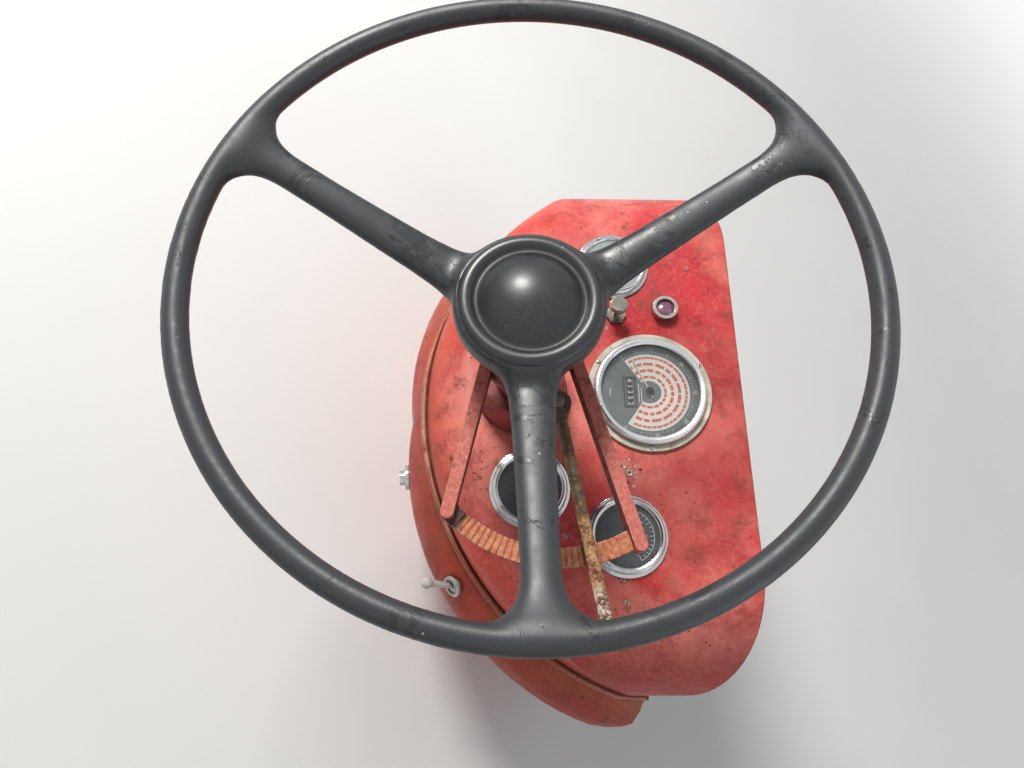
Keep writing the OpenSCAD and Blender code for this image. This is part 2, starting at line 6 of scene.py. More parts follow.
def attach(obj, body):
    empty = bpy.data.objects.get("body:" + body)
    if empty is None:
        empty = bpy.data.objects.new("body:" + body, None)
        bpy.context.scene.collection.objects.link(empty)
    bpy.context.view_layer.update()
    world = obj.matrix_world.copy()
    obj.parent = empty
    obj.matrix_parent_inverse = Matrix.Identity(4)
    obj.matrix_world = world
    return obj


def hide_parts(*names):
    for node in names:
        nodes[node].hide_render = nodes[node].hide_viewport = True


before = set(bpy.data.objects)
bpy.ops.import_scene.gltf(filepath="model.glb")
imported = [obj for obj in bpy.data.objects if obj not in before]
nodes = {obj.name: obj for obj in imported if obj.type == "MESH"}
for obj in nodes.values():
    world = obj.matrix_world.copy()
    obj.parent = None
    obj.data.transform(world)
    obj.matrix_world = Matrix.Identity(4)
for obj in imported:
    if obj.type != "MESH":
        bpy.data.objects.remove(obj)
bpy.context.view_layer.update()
rng = random.Random(7)

# Sizes and places that the part's source has too, in metres
TILT = math.radians(27)  # lean of the column
BOX_TOP = 0.062  # along the column: the steering box's top face
PANEL_S = 0.284  # along the column: the gauge panel
HUB_TOP = 0.451  # along the column: the top edge of the wheel's hub
COLUMN_R = 0.0225  # outer radius of the column tube
FOOT_W = 0.092  # width of the column's foot
FOOT_PLATE = 0.011  # thickness of the foot's plate
FOOT_BOLT_IN = 0.010  # from the plate's edge to its bolts
SEAM_Z = 0.182  # level of the seam between cowl and shroud
LIP = 0.005  # how far the lip at the seam stands out
LIP_T = 0.003  # thickness of the lip
FRONT_X = 0.038  # the cowl's open front edge
DRUM_R = 0.250  # radius of the cowl's rounded back
DRUM_X = 0.168  # centre of the rounded back, ahead of the column along the panel
HALF_W = 0.239  # half of the cowl's width
METER = (0.108, 0.0)  # the large meter on the panel: how far ahead and to the left
METER_DEPTH = 0.062  # its can behind the panel
GAUGES = ((0.082, 0.121), (0.082, -0.121), (0.006, -0.0835))  # the same for the small gauges
GAUGE_DEPTH = 0.044  # their cans behind the panel
DIAL_T = 0.0008  # a dial's face above the panel
PIVOT = (0.021, -0.050)  # the throttle lever's pivot on the panel
SECTOR_Z = 0.093  # the toothed sector's top face above the panel
SECTOR_T = 0.005  # thickness of the bracket
SECTOR_IN = 0.0945  # the sector's inner radius

COLUMN = Matrix.Rotation(-TILT, 4, "Y")
PANEL = COLUMN @ Matrix.Translation((0, 0, PANEL_S))


def spot(base, x, y, z=0.0, angle=0.0):
    """A place in the frame of base, turned about its Z axis by an angle in radians."""
    return base @ Matrix.Translation((x, y, z)) @ Matrix.Rotation(angle, 4, "Z")


def on_panel(x, y, z=0.0, turn=0.0):
    """A place on the gauge panel, turned by so many degrees."""
    return spot(PANEL, x, y, z, math.radians(turn))


def around(centre, radius, angle):
    """The point of a circle at an angle in radians."""
    return centre[0] + radius * math.cos(angle), centre[1] + radius * math.sin(angle)


def rgb(code):
    """A colour as it shows on a screen, turned into the linear one that a shader takes."""
    c = [int(code[i:i + 2], 16) / 255 for i in (1, 3, 5)]
    return tuple(v / 12.92 if v <= 0.04045 else ((v + 0.055) / 1.055) ** 2.4 for v in c) + (1.0,)


# Materials
class Look:
    """A procedural material: a call adds what it names to the nodes and gives back its output."""

    def __init__(self, name, rough=0.5, metal=0.0, spec=0.5):
        self.mat = bpy.data.materials.new(name)
        self.mat.use_nodes = True
        self.tree = self.mat.node_tree
        self.tree.nodes.clear()
        values = {"Roughness": rough, "Metallic": metal, "Specular IOR Level": spec}
        self.bsdf = self.node("ShaderNodeBsdfPrincipled", values)
        self.out = self.node("ShaderNodeOutputMaterial", {0: self.bsdf.outputs[0]})
        self.co = self.node("ShaderNodeTexCoord").outputs["Object"]

    def node(self, kind, inputs=None, **props):
        """A node with its properties set, and its inputs linked or set; None leaves an input as it is."""
        n = self.tree.nodes.new(kind)
        for key, value in props.items():
            setattr(n, key, value)
        for key, value in (inputs or {}).items():
            self.put(n.inputs[key], value)
        return n

    def put(self, socket, value):
        if isinstance(value, bpy.types.NodeSocket):
            self.tree.links.new(value, socket)
        elif value is not None:
            socket.default_value = value

    def at(self, matrix):
        """Coordinates in the frame of matrix, which has no scale of its own."""
        loc, rot, _ = matrix.decompose()
        values = {"Vector": self.co, "Location": loc, "Rotation": rot.to_euler()}
        return self.node("ShaderNodeMapping", values, vector_type="TEXTURE").outputs[0]

    def stretch(self, scale, turn):
        """Coordinates scaled along each axis, then turned by so many degrees about X, Y and Z."""
        values = {"Vector": self.co, "Rotation": [math.radians(a) for a in turn], "Scale": scale}
        return self.node("ShaderNodeMapping", values).outputs[0]

    def noise(self, scale, detail=4.0, rough=0.55, distort=0.0, vec=None):
        values = {"Vector": vec or self.co, "Scale": scale, "Detail": detail, "Roughness": rough,
                  "Distortion": distort}
        return self.node("ShaderNodeTexNoise", values).outputs[0]

    def cells(self, scale, vec=None, feature="F1"):
        """How far the nearest of some scattered points is, or the nearest edge between them."""
        values = {"Vector": vec or self.co, "Scale": scale}
        return self.node("ShaderNodeTexVoronoi", values, feature=feature).outputs["Distance"]

    def ramp(self, v, lo, hi, a=0.0, b=1.0):
        """Runs smoothly from a to b while v goes from lo to hi."""
        values = dict(enumerate((v, lo, hi, a, b)))
        return self.node("ShaderNodeMapRange", values, interpolation_type="SMOOTHSTEP").outputs[0]

    def mask(self, lo, hi, *noise):
        """Patches: 0 where the noise is below lo, 1 where it is above hi."""
        return self.ramp(self.noise(*noise), lo, hi)

    def wander(self, a, b, scale, detail, rough=0.55):
        """A value that wanders between a and b."""
        return self.ramp(self.noise(scale, detail, rough), 0.3, 0.7, a, b)

    def calc(self, op, a, b=0.0, clamp=False):
        return self.node("ShaderNodeMath", {0: a, 1: b}, operation=op, use_clamp=clamp).outputs[0]

    def plus(self, a, b, share=1.0, clamp=False):
        """The sum of a and a share of b."""
        return self.calc("ADD", a, b if share == 1.0 else self.times(b, share), clamp)

    def less(self, v, clamp=False):
        """What v leaves of 1."""
        return self.calc("SUBTRACT", 1.0, v, clamp)

    def sway(self, v, reach):
        """A value between 0 and 1, made to swing about 0."""
        return self.times(self.calc("SUBTRACT", v, 0.5), reach)

    def chain(self, op, values):
        out = values[0]
        for v in values[1:]:
            out = self.calc(op, out, v)
        return out

    def times(self, *values):
        return self.chain("MULTIPLY", values)

    def most(self, *values):
        return self.chain("MAXIMUM", values)

    def mix(self, fac, a, b):
        """Colour a, with b laid over it by fac."""
        a, b = (rgb(c) if isinstance(c, str) else c for c in (a, b))
        return self.node("ShaderNodeMix", {0: fac, 6: a, 7: b}, data_type="RGBA").outputs[2]

    def axis(self, vec, i):
        return self.node("ShaderNodeSeparateXYZ", {0: vec}).outputs[i]

    def vector(self, op, *values):
        return self.node("ShaderNodeVectorMath", dict(enumerate(values)), operation=op)

    def length(self, vec):
        """Distance from the Z axis."""
        flat = self.vector("MULTIPLY", vec, (1, 1, 0)).outputs[0]
        return self.vector("LENGTH", flat).outputs["Value"]

    def facing(self, direction):
        """How far the surface faces a direction, from -1 to 1."""
        normal = self.node("ShaderNodeNewGeometry").outputs["Normal"]
        return self.vector("DOT_PRODUCT", normal, direction).outputs["Value"]

    def soft_edge(self, radius):
        """The normal, with every edge rounded over by shading alone."""
        return self.node("ShaderNodeBevel", {"Radius": radius}, samples=6).outputs[0]

    def edge(self, radius):
        """1 along convex and concave edges within the radius, else 0."""
        return self.ramp(self.less(self.facing(self.soft_edge(radius))), 0.03, 0.3)

    def crevice(self, distance):
        """1 deep in a hollow, 0 in the open."""
        n = self.node("ShaderNodeAmbientOcclusion", {"Distance": distance}, samples=6)
        return self.less(n.outputs["AO"], True)

    def bump(self, height, depth, strength=1.0, under=None):
        values = {"Height": height, "Distance": depth, "Strength": strength, "Normal": under}
        return self.node("ShaderNodeBump", values).outputs[0]

    def done(self, colour, rough=None, normal=None, metal=None):
        """Links or sets what is given, and gives back the material."""
        values = {"Base Color": colour, "Roughness": rough, "Metallic": metal, "Normal": normal}
        for name, value in values.items():
            self.put(self.bsdf.inputs[name], value)
        return self.mat


def rust_colour(k, scale=160):
    """Brown rust with lighter orange specks."""
    c = k.mix(k.mask(0.35, 0.6, scale, 5, 0.7), "#4a2a1c", "#8d5230")
    return k.mix(k.mask(0.55, 0.7, scale * 2.3, 3), c, "#b87443")


def sheet_paint(name, base, warm, faded, deep, stains=(), wear=1.0, seam=1.0):
    """Old red enamel on sheet metal: bleached by the sun, rust specks, scuffs, chipped edges.

    wear and seam weigh the worn edges and the dirt and painted shade along the seam.
    """
    k = Look(name, spec=0.26)
    big = k.noise(6, 4, 0.6, 0.4)
    mid = k.noise(27, 7, 0.7, 0.7)
    fine = k.noise(260, 4, 0.6)
    # orange towards the driver, pinker ahead, browner along the right edge
    place = k.at(PANEL)
    drift = k.sway(k.noise(9, 6, 0.62, 0.5), 0.5)
    col = k.mix(k.ramp(k.plus(k.axis(place, 0), drift), -0.12, 0.09, 1, 0), base, warm)
    low = k.ramp(k.plus(k.axis(place, 1), drift, 0.5), -0.23, -0.14, 0.6, 0)
    col = k.mix(low, col, "#a2402c")
    # bleached where the sheet faces the sky behind the tractor
    sun = k.ramp(k.facing(Vector((-0.35, 0.1, 1)).normalized()), 0.3, 0.98)
    bleach = k.times(sun, k.ramp(big, 0.41, 0.62, 0.0, 0.82))
    col = k.mix(bleach, col, faded)
    col = k.mix(k.ramp(mid, 0.47, 0.68, 0.0, 0.7), col, deep)
    col = k.mix(k.ramp(fine, 0.45, 0.7, 0.0, 0.22), col, faded)
    col = k.mix(k.ramp(k.noise(900, 3, 0.6), 0.35, 0.75, 0.0, 0.28), col, deep)
    # dull brown film, and long scuffs that run across it
    film = k.mask(0.48, 0.74, 12, 6, 0.7, 0.9)
    col = k.mix(k.times(film, 0.5), col, "#84483a")
    scuff_a = k.ramp(k.noise(3, 6, 0.72, 0.3, k.stretch((9, 60, 14), (0, 0, 38))), 0.62, 0.74)
    scuff_b = k.ramp(k.noise(3, 6, 0.7, 0.3, k.stretch((70, 10, 20), (0, 0, -24))), 0.63, 0.74)
    col = k.mix(k.times(scuff_a, 0.5), col, "#6d3a2d")
    col = k.mix(k.times(scuff_b, 0.35), col, "#e2a496")
    # specks of rust, in loose groups
    where = k.mask(0.42, 0.62, 19, 4, 0.6)
    dot = k.node("ShaderNodeTexVoronoi", {"Vector": k.co, "Scale": 210}).outputs
    kept = k.ramp(k.axis(dot["Color"], 0), 0.5, 0.62)
    dots = k.times(k.ramp(dot["Distance"], 0.12, 0.3, 1, 0), kept, where)
    patch = k.cells(64)
    spots = k.times(k.ramp(k.plus(patch, k.noise(190, 4, 0.7), 0.42), 0.3, 0.4, 1, 0),
                    k.mask(0.46, 0.6, 9, 3))
    chips = k.ramp(k.plus(k.noise(46, 8, 0.78), k.noise(5, 3), 0.5), 0.92, 0.96)
    edge = k.edge(0.0022)
    worn = k.times(edge, k.mask(0.4, 0.56, 120, 5, 0.7), wear)
    rust = k.most(dots, spots, chips, k.times(worn, 0.95))
    halo = k.times(k.ramp(k.plus(patch, k.noise(90, 4), 0.4), 0.34, 0.62, 0.55, 0),
                   k.mask(0.44, 0.6, 9, 3))
    col = k.mix(halo, col, "#a2553a")
    # old stains at their places on the panel
    ragged = k.sway(k.noise(95, 8, 0.8), 3.4)
    broken = k.ramp(k.noise(330, 4, 0.7), 0.42, 0.58, 0.35, 1)
    for x, y, r, tone, strength in stains:
        d = k.length(k.at(on_panel(x, y)))
        inside = k.ramp(k.plus(k.calc("DIVIDE", d, r), ragged), 0.1, 1.0, strength, 0)
        col = k.mix(k.times(inside, broken), col, tone)
    # stain that creeps away from the seam, and grime with painted shade in it, darkest right at the seam
    h = k.calc("ABSOLUTE", k.calc("SUBTRACT", k.axis(k.co, 2), SEAM_Z + 0.002))
    band = k.times(k.ramp(h, 0.002, 0.03, 1, 0), k.mask(0.36, 0.6, 42, 5, 0.7))
    col = k.mix(k.times(band, 0.85 * seam), col, "#a5552f")
    # painted shade: the paint darkens within a few millimetres of the seam, standing for grime and the lip's
    # shade together
    grime_and_seam_shade = k.times(k.ramp(h, 0.0, 0.007, 1, 0), k.ramp(k.noise(70, 4), 0.35, 0.6, 0.3, 1))
    col = k.mix(k.times(grime_and_seam_shade, 0.75 * seam), col, "#5b352a")
    col = k.mix(rust, col, rust_colour(k))
    bare = k.times(edge, k.mask(0.56, 0.64, 170, 4, 0.7), wear)
    col = k.mix(bare, col, "#c9a596")
    dirt = k.times(k.ramp(k.crevice(0.018), 0.2, 0.75), k.ramp(k.noise(60, 4), 0.25, 0.6, 0.45, 1))
    col = k.mix(k.times(dirt, 0.8 * seam), col, "#45261f")
    flecks = k.ramp(k.cells(33, k.stretch((1, 1, 1), (20, 0, 40))), 0.022, 0.05, 1, 0)
    col = k.mix(flecks, col, "#d9b9a6")
    rough = k.plus(k.wander(0.27, 0.46, 24, 5), rust, 0.35)
    rough = k.plus(rough, film, 0.14, True)
    n = k.soft_edge(0.0012)
    n = k.bump(k.noise(15, 2, 0.4), 0.004, 0.16, n)
    n = k.bump(k.noise(700, 2, 0.5), 0.0002, 0.22, n)
    n = k.bump(k.less(rust), 0.0005, 0.6, n)
    n = k.bump(k.plus(scuff_a, scuff_b), 0.0002, 0.15, n)
    return k.done(col, rough, n)


def cast_paint(name, base, light, dark, metal_spots=True):
    """Painted casting: sand-cast skin, oil grime in the hollows, rust and bare metal on the corners."""
    k = Look(name, spec=0.4)
    big = k.noise(14, 5, 0.6, 0.3)
    mid = k.noise(70, 5, 0.65)
    col = k.mix(k.ramp(big, 0.35, 0.65), base, light)
    col = k.mix(k.ramp(mid, 0.45, 0.7, 0.0, 0.7), col, dark)
    edge = k.edge(0.0025)
    worn = k.times(edge, k.mask(0.42, 0.55, 140, 5, 0.7))
    patch = k.ramp(k.plus(k.noise(34, 7, 0.75), k.noise(8, 3), 0.4), 0.8, 0.86)
    rust = k.most(worn, patch)
    col = k.mix(rust, col, rust_colour(k, 220))
    if metal_spots:
        col = k.mix(k.times(edge, k.mask(0.56, 0.64, 210, 4)), col, "#a9a9a4")
    oil = k.times(k.ramp(k.crevice(0.03), 0.15, 0.7), k.ramp(k.noise(30, 4), 0.3, 0.6, 0.5, 1))
    col = k.mix(k.times(oil, 0.85), col, "#241f1b")
    rough = k.plus(k.wander(0.42, 0.62, 90, 4), oil, -0.15)
    rough = k.plus(rough, rust, 0.25, True)
    n = k.soft_edge(0.0018)
    n = k.bump(k.noise(430, 4, 0.65), 0.0006, 0.5, n)
    n = k.bump(k.noise(60, 3), 0.002, 0.25, n)
    n = k.bump(k.less(rust), 0.0005, 0.6, n)
    return k.done(col, rough, n)


def bracket_paint():
    """The throttle bracket: chalky red paint on top, dark brown sides, the sector rubbed to orange metal. The
    lighter top and darker sides are painted light and shade.
    """
    k = Look("bracket_paint", spec=0.4)
    # painted light and shade: faces that point up along the column take the lit pink paint, the others a dark
    # brown shaded copy of it
    up = k.ramp(k.facing(COLUMN.to_3x3() @ Vector((0, 0, 1))), 0.35, 0.8)
    speck = k.noise(320, 6, 0.72)
    lit_top = k.mix(k.ramp(speck, 0.3, 0.7), "#b84c40", "#d37f70")
    lit_top = k.mix(k.ramp(k.noise(1300, 3), 0.5, 0.7, 0, 0.4), lit_top, "#e6b3a2")
    lit_top = k.mix(k.times(k.mask(0.56, 0.64, 60, 7, 0.75), 0.75), lit_top, "#763a2b")
    side = k.mix(k.mask(0.35, 0.65, 130, 5, 0.7), "#4a211b", "#8c3b31")
    col = k.mix(up, side, lit_top)
    # the sector's top face, from its inner edge out
    local = k.at(on_panel(*PIVOT))
    above = k.axis(local, 2)
    strip = k.times(k.ramp(k.length(local), SECTOR_IN - 0.0015, SECTOR_IN),
                    k.ramp(above, SECTOR_Z - 0.0025, SECTOR_Z - 0.001),
                    k.ramp(above, SECTOR_Z + 0.0006, SECTOR_Z + 0.0012, 1, 0))
    rubbed = k.mix(k.mask(0.35, 0.65, 210, 5, 0.7), "#b1613f", "#d98f68")
    rubbed = k.mix(k.times(k.mask(0.55, 0.7, 90, 4, 0.7), 0.6), rubbed, "#8d4a31")
    rubbed = k.mix(k.times(k.mask(0.55, 0.7, 500, 3), 0.35), rubbed, "#ecc3a0")
    turn = k.calc("ARCTAN2", k.axis(local, 1), k.axis(local, 0))
    turn = k.plus(turn, k.noise(110, 3), 0.04)
    # dark at the sector's rear end, dimmer near its middle: where each begins and ends, in degrees
    rear, dim, clear = (-129, -126.5), (-92, -82), (-78, -70)
    rubbed = k.mix(k.ramp(turn, *map(math.radians, rear)), "#4a261b", rubbed)
    shade = k.times(k.ramp(turn, *map(math.radians, dim), 0.0, 0.5),
                    k.ramp(turn, *map(math.radians, clear), 1, 0))
    rubbed = k.mix(shade, rubbed, "#6a4630")
    col = k.mix(strip, col, rubbed)
    edge = k.times(k.edge(0.0015), k.mask(0.42, 0.58, 260, 4))
    col = k.mix(k.times(edge, 0.8), col, "#e8b3a2")
    dirt = k.times(k.ramp(k.crevice(0.008), 0.2, 0.8), k.less(k.times(strip, 0.8)))
    col = k.mix(k.times(dirt, 0.85), col, "#2c1712")
    n = k.soft_edge(0.0012)
    n = k.bump(k.noise(380, 5, 0.7), 0.0006, 0.6, n)
    rough = k.wander(0.45, 0.7, 150, 3)
    return k.done(col, rough, n)


def wheel_rubber():
    """Hard black moulding: grey bloom, a film that peels near the hub, fine cracks, pale nicks."""
    k = Look("wheel_rubber", spec=0.52)
    # distance from the wheel's axis: the hub's side stands at 0.05 m
    r = k.length(k.at(COLUMN))
    big = k.noise(11, 4, 0.6)
    # painted reflection: the faint blue in the black stands for sky seen in the rubber, not its own colour
    col = k.mix(k.ramp(big, 0.3, 0.7), "#14171a", "#202428")
    col = k.mix(k.ramp(k.noise(300, 4, 0.6), 0.45, 0.7, 0, 0.4), col, "#2b2f33")
    bare = k.times(k.ramp(r, 0.046, 0.053), k.ramp(r, 0.075, 0.125, 1, 0))
    peel = k.plus(k.noise(38, 8, 0.66, 0.8), bare, 0.13)
    film = k.times(k.ramp(peel, 0.585, 0.6, 1, 0), k.ramp(r, 0.046, 0.052))
    col = k.mix(k.times(film, 0.6), col, "#34383c")
    shade = k.times(bare, k.mask(0.52, 0.6, 85, 6, 0.7))
    col = k.mix(k.times(shade, 0.7), col, "#141517")
    scuff = k.ramp(k.noise(4, 7, 0.75, 0.5, k.stretch((30, 30, 130), (30, 40, 0))), 0.64, 0.72)
    col = k.mix(k.times(scuff, 0.3), col, "#8a8b89")
    crack = k.cells(58, k.stretch((1, 1, 1), (0, 27, 0)), "DISTANCE_TO_EDGE")
    wave = k.plus(crack, k.noise(240, 3), 0.03)
    by_hub = k.times(k.ramp(r, 0.047, 0.052), k.ramp(r, 0.062, 0.082, 1, 0))
    cracks = k.times(k.ramp(wave, 0.012, 0.024, 1, 0), by_hub, k.mask(0.47, 0.54, 33, 2))
    col = k.mix(cracks, col, "#0c0c0d")
    nick = k.ramp(k.cells(38, k.stretch((1, 1, 1), (11, 0, 50))), 0.016, 0.032, 1, 0)
    col = k.mix(nick, col, "#c8c6bf")
    dust = k.times(k.ramp(k.crevice(0.01), 0.25, 0.8), 0.5)
    col = k.mix(dust, col, "#5e5a52")
    rough = k.wander(0.31, 0.42, 55, 5, 0.65)
    rough = k.plus(rough, k.most(k.times(film, 0.4), scuff), 0.2, True)
    n = k.bump(k.noise(9, 2), 0.003, 0.12)
    n = k.bump(k.noise(650, 3, 0.6), 0.00018, 0.25, n)
    n = k.bump(film, 0.0003, 0.35, n)
    n = k.bump(k.less(k.most(cracks, nick)), 0.0007, 0.7, n)
    return k.done(col, rough, n)


def cap_black():
    """Glossy black cap: fine swirls, dust settled in the groove, a few pale nicks."""
    k = Look("cap_black", spec=0.55)
    k.bsdf.inputs["Coat Weight"].default_value = 0.2
    k.bsdf.inputs["Coat Roughness"].default_value = 0.2
    r = k.length(k.at(COLUMN))
    haze = k.noise(28, 6, 0.7)
    # painted reflection: the faint blue in the black stands for sky seen in the gloss, not the cap's own
    # colour
    col = k.mix(k.ramp(haze, 0.4, 0.75), "#0c0e11", "#171b20")
    groove = k.times(k.ramp(r, 0.0325, 0.0348), k.ramp(r, 0.0355, 0.0378, 1, 0))
    col = k.mix(k.times(groove, k.ramp(k.noise(90, 4), 0.3, 0.6, 0.2, 0.7)), col, "#3c3b37")
    scratch = k.ramp(k.noise(5, 7, 0.8, 0.2, k.stretch((14, 160, 40), (0, 0, 35))), 0.63, 0.7)
    col = k.mix(k.times(scratch, 0.3), col, "#6b6d70")
    dust = k.times(k.mask(0.6, 0.72, 800, 2), k.ramp(haze, 0.4, 0.7))
    col = k.mix(k.times(dust, 0.5), col, "#77766f")
    nick = k.ramp(k.cells(60), 0.02, 0.04, 1, 0)
    col = k.mix(k.times(nick, 0.8), col, "#bdbab2")
    rough = k.ramp(haze, 0.35, 0.75, 0.36, 0.48)
    rough = k.plus(rough, k.most(scratch, groove), 0.2, True)
    n = k.bump(k.noise(16, 2), 0.002, 0.12)
    n = k.bump(k.noise(500, 3), 0.0001, 0.12, n)
    n = k.bump(k.less(scratch), 0.0001, 0.25, n)
    return k.done(col, rough, n)


def chrome(name="chrome", tint="#bbbdbe", base=0.1):
    """Old chrome plate: clouded, pitted, brown in the corners."""
    k = Look(name, metal=1.0)
    cloud = k.noise(45, 5, 0.65)
    col = k.mix(k.ramp(cloud, 0.45, 0.75, 0, 0.6), tint, "#95938d")
    pit = k.times(k.ramp(k.cells(420), 0.1, 0.22, 1, 0), k.mask(0.48, 0.62, 60, 4))
    stain = k.times(k.ramp(k.crevice(0.006), 0.25, 0.85), 0.75)
    tarnish = k.most(k.times(pit, 0.9), stain)
    col = k.mix(tarnish, col, "#59493b")
    rough = k.plus(k.ramp(cloud, 0.4, 0.75, base, base + 0.2), tarnish, 0.35, True)
    metal = k.less(k.times(tarnish, 0.7), True)
    n = k.soft_edge(0.0006)
    n = k.bump(k.noise(120, 3), 0.0004, 0.12, n)
    n = k.bump(k.less(pit), 0.0003, 0.5, n)
    return k.done(col, rough, n, metal)


def cream_ring():
    """The large meter's flange: yellowed cream, grime against the bezel, small dark pits."""
    k = Look("cream_ring", spec=0.45)
    col = k.mix(k.mask(0.35, 0.7, 60, 5, 0.65), "#dcd8ca", "#b3aa96")
    col = k.mix(k.times(k.mask(0.58, 0.68, 150, 5, 0.75), 0.7), col, "#8a7a60")
    pit = k.times(k.ramp(k.cells(210), 0.08, 0.18, 1, 0), k.mask(0.46, 0.6, 40, 3))
    col = k.mix(pit, col, "#3f362b")
    col = k.mix(k.times(k.ramp(k.crevice(0.004), 0.2, 0.8), 0.8), col, "#5b4c3b")
    rough = k.wander(0.38, 0.6, 90, 4)
    n = k.soft_edge(0.0006)
    n = k.bump(k.noise(400, 4), 0.0002, 0.35, n)
    return k.done(col, rough, n)


def dial(name, a, b, speck="#6f7374"):
    """A printed dial: matt lacquer, faint brushing and dust under the glass."""
    k = Look(name, spec=0.3)
    col = k.mix(k.mask(0.3, 0.7, 38, 5, 0.6), a, b)
    col = k.mix(k.times(k.mask(0.58, 0.7, 700, 3), 0.5), col, speck)
    rough = k.wander(0.45, 0.62, 120, 3)
    return k.done(col, rough, k.bump(k.noise(240, 2), 0.00004, 0.1))


def printed(name, colour, worn):
    """Printing ink, a little broken up."""
    k = Look(name, spec=0.3)
    col = k.mix(k.mask(0.4, 0.62, 1500, 4, 0.7), colour, worn)
    return k.done(col, k.wander(0.5, 0.65, 600, 2), k.bump(k.noise(1600, 2), 0.00003, 0.2))


def glass(name, haze, dust_and_glare_side=False):
    """Flat instrument glass: clear, with a film of dust, and on request more of it towards the left, where
    the paler veil is also a painted reflection of glare.
    """
    k = Look(name, spec=0.7)
    smear = k.noise(60, 6, 0.7, 0.5)
    veil = k.ramp(smear, 0.35, 0.75, haze * 0.55, haze * 1.5)
    if dust_and_glare_side:
        # painted reflection: the extra pale veil towards the left is partly dust and partly glare on the
        # glass
        veil = k.plus(veil, k.ramp(k.axis(k.co, 1), 0.05, 0.09, 0.0, 0.3), clamp=True)
    slant = k.node("ShaderNodeLayerWeight", {"Blend": 0.35}).outputs["Fresnel"]
    alpha = k.plus(veil, slant, 0.5, True)
    k.put(k.bsdf.inputs["Alpha"], alpha)
    col = k.mix(k.ramp(smear, 0.4, 0.7), "#dfe7ea", "#c9d0d0")
    rough = k.ramp(smear, 0.4, 0.75, 0.05, 0.3)
    return k.done(col, rough, k.bump(k.noise(20, 2), 0.001, 0.05))


def lens():
    """The warning lamp's plum-coloured lens, faded and scratched."""
    k = Look("lamp_lens", spec=0.7)
    col = k.mix(k.mask(0.35, 0.7, 180, 4), "#74405a", "#a5708a")
    col = k.mix(k.times(k.mask(0.56, 0.7, 700, 3), 0.5), col, "#c9a0b0")
    col = k.mix(k.times(k.ramp(k.crevice(0.003), 0.3, 0.9), 0.7), col, "#2a131c")
    rough = k.ramp(k.noise(240, 4), 0.35, 0.7, 0.12, 0.34)
    return k.done(col, rough, k.bump(k.noise(420, 3), 0.0001, 0.25))


def lever_paint():
    """The throttle lever: oily brown near its pivot, yellowed paint further out, rust all along; near white
    at its end, a painted highlight.
    """
    k = Look("lever_paint", spec=0.45)
    # ragged distance from the pivot, in metres
    r = k.plus(k.length(k.at(on_panel(*PIVOT))), k.noise(90, 4), 0.012)
    oily = k.mix(k.mask(0.35, 0.65, 170, 5, 0.7), "#2e2418", "#6a5634")
    oily = k.mix(k.times(k.mask(0.56, 0.64, 420, 4, 0.7), 0.8), oily, "#a58a58")
    pale = k.mix(k.mask(0.38, 0.6, 190, 6, 0.75), "#c29a6a", "#93663c")
    pale = k.mix(k.times(k.mask(0.52, 0.66, 90, 5, 0.7), 0.7), pale, "#dcc29c")
    col = k.mix(k.ramp(r, 0.083, 0.09), oily, pale)
    # painted highlight: the paint turns near white towards the lever's end
    col = k.mix(k.ramp(r, 0.124, 0.138, 0.0, 0.7), col, "#d9d2c3")
    rust = k.ramp(k.plus(k.noise(420, 7, 0.8), k.noise(95, 4, 0.6), 0.5), 0.745, 0.79)
    col = k.mix(k.times(rust, k.ramp(r, 0.07, 0.1, 0.3, 1)), col, rust_colour(k, 300))
    black = k.mask(0.63, 0.67, 350, 5, 0.75)
    col = k.mix(k.times(black, 0.85), col, "#1d1611")
    rough = k.plus(k.ramp(r, 0.083, 0.1, 0.42, 0.5), rust, 0.3, True)
    n = k.bump(k.noise(300, 5, 0.7), 0.0006, 0.55)
    n = k.bump(k.less(rust), 0.0006, 0.7, n)
    return k.done(col, rough, n)


def steel(name, colour, other, rusty=0.5):
    """Bare steel: turned or drawn, greasy in the hollows, rust bloom."""
    k = Look(name, metal=1.0)
    col = k.mix(k.mask(0.35, 0.7, 80, 5, 0.65), colour, other)
    rust = k.times(k.mask(0.53, 0.62, 120, 7, 0.75), rusty)
    dirt = k.times(k.ramp(k.crevice(0.008), 0.2, 0.8), 0.8)
    off = k.most(rust, dirt)
    col = k.mix(rust, col, rust_colour(k, 240))
    col = k.mix(dirt, col, "#3b2f24")
    rough = k.plus(k.wander(0.34, 0.5, 160, 4), off, 0.35, True)
    metal = k.less(off, True)
    n = k.soft_edge(0.0007)
    n = k.bump(k.noise(420, 4), 0.0003, 0.35, n)
    return k.done(col, rough, n, metal)


def can_metal():
    """The gauges' cans: dull dark plate, brown stains, rubbed edges."""
    k = Look("can_metal", spec=0.45)
    col = k.mix(k.mask(0.35, 0.7, 50, 5), "#3c3f42", "#54585b")
    col = k.mix(k.times(k.mask(0.58, 0.66, 130, 6, 0.75), 0.7), col, "#6f5642")
    col = k.mix(k.times(k.edge(0.0012), 0.6), col, "#84878a")
    rough = k.wander(0.42, 0.6, 70, 4)
    n = k.soft_edge(0.001)
    return k.done(col, rough, k.bump(k.noise(500, 3), 0.0002, 0.3, n))


def rubber_bush():
    """The column's bush: dusty brown-black rubber."""
    k = Look("bush", spec=0.4)
    col = k.mix(k.mask(0.35, 0.7, 120, 5), "#26221e", "#3d352c")
    return k.done(col, k.wander(0.4, 0.6, 90, 3), k.bump(k.noise(500, 3), 0.0002, 0.3))


def brass():
    """Dull brass of the studs behind the gauges."""
    k = Look("brass", metal=1.0)
    col = k.mix(k.mask(0.35, 0.7, 300, 4), "#b99b5e", "#7d6a44")
    return k.done(col, k.wander(0.3, 0.5, 300, 3), k.bump(k.noise(900, 3), 0.0001, 0.3))


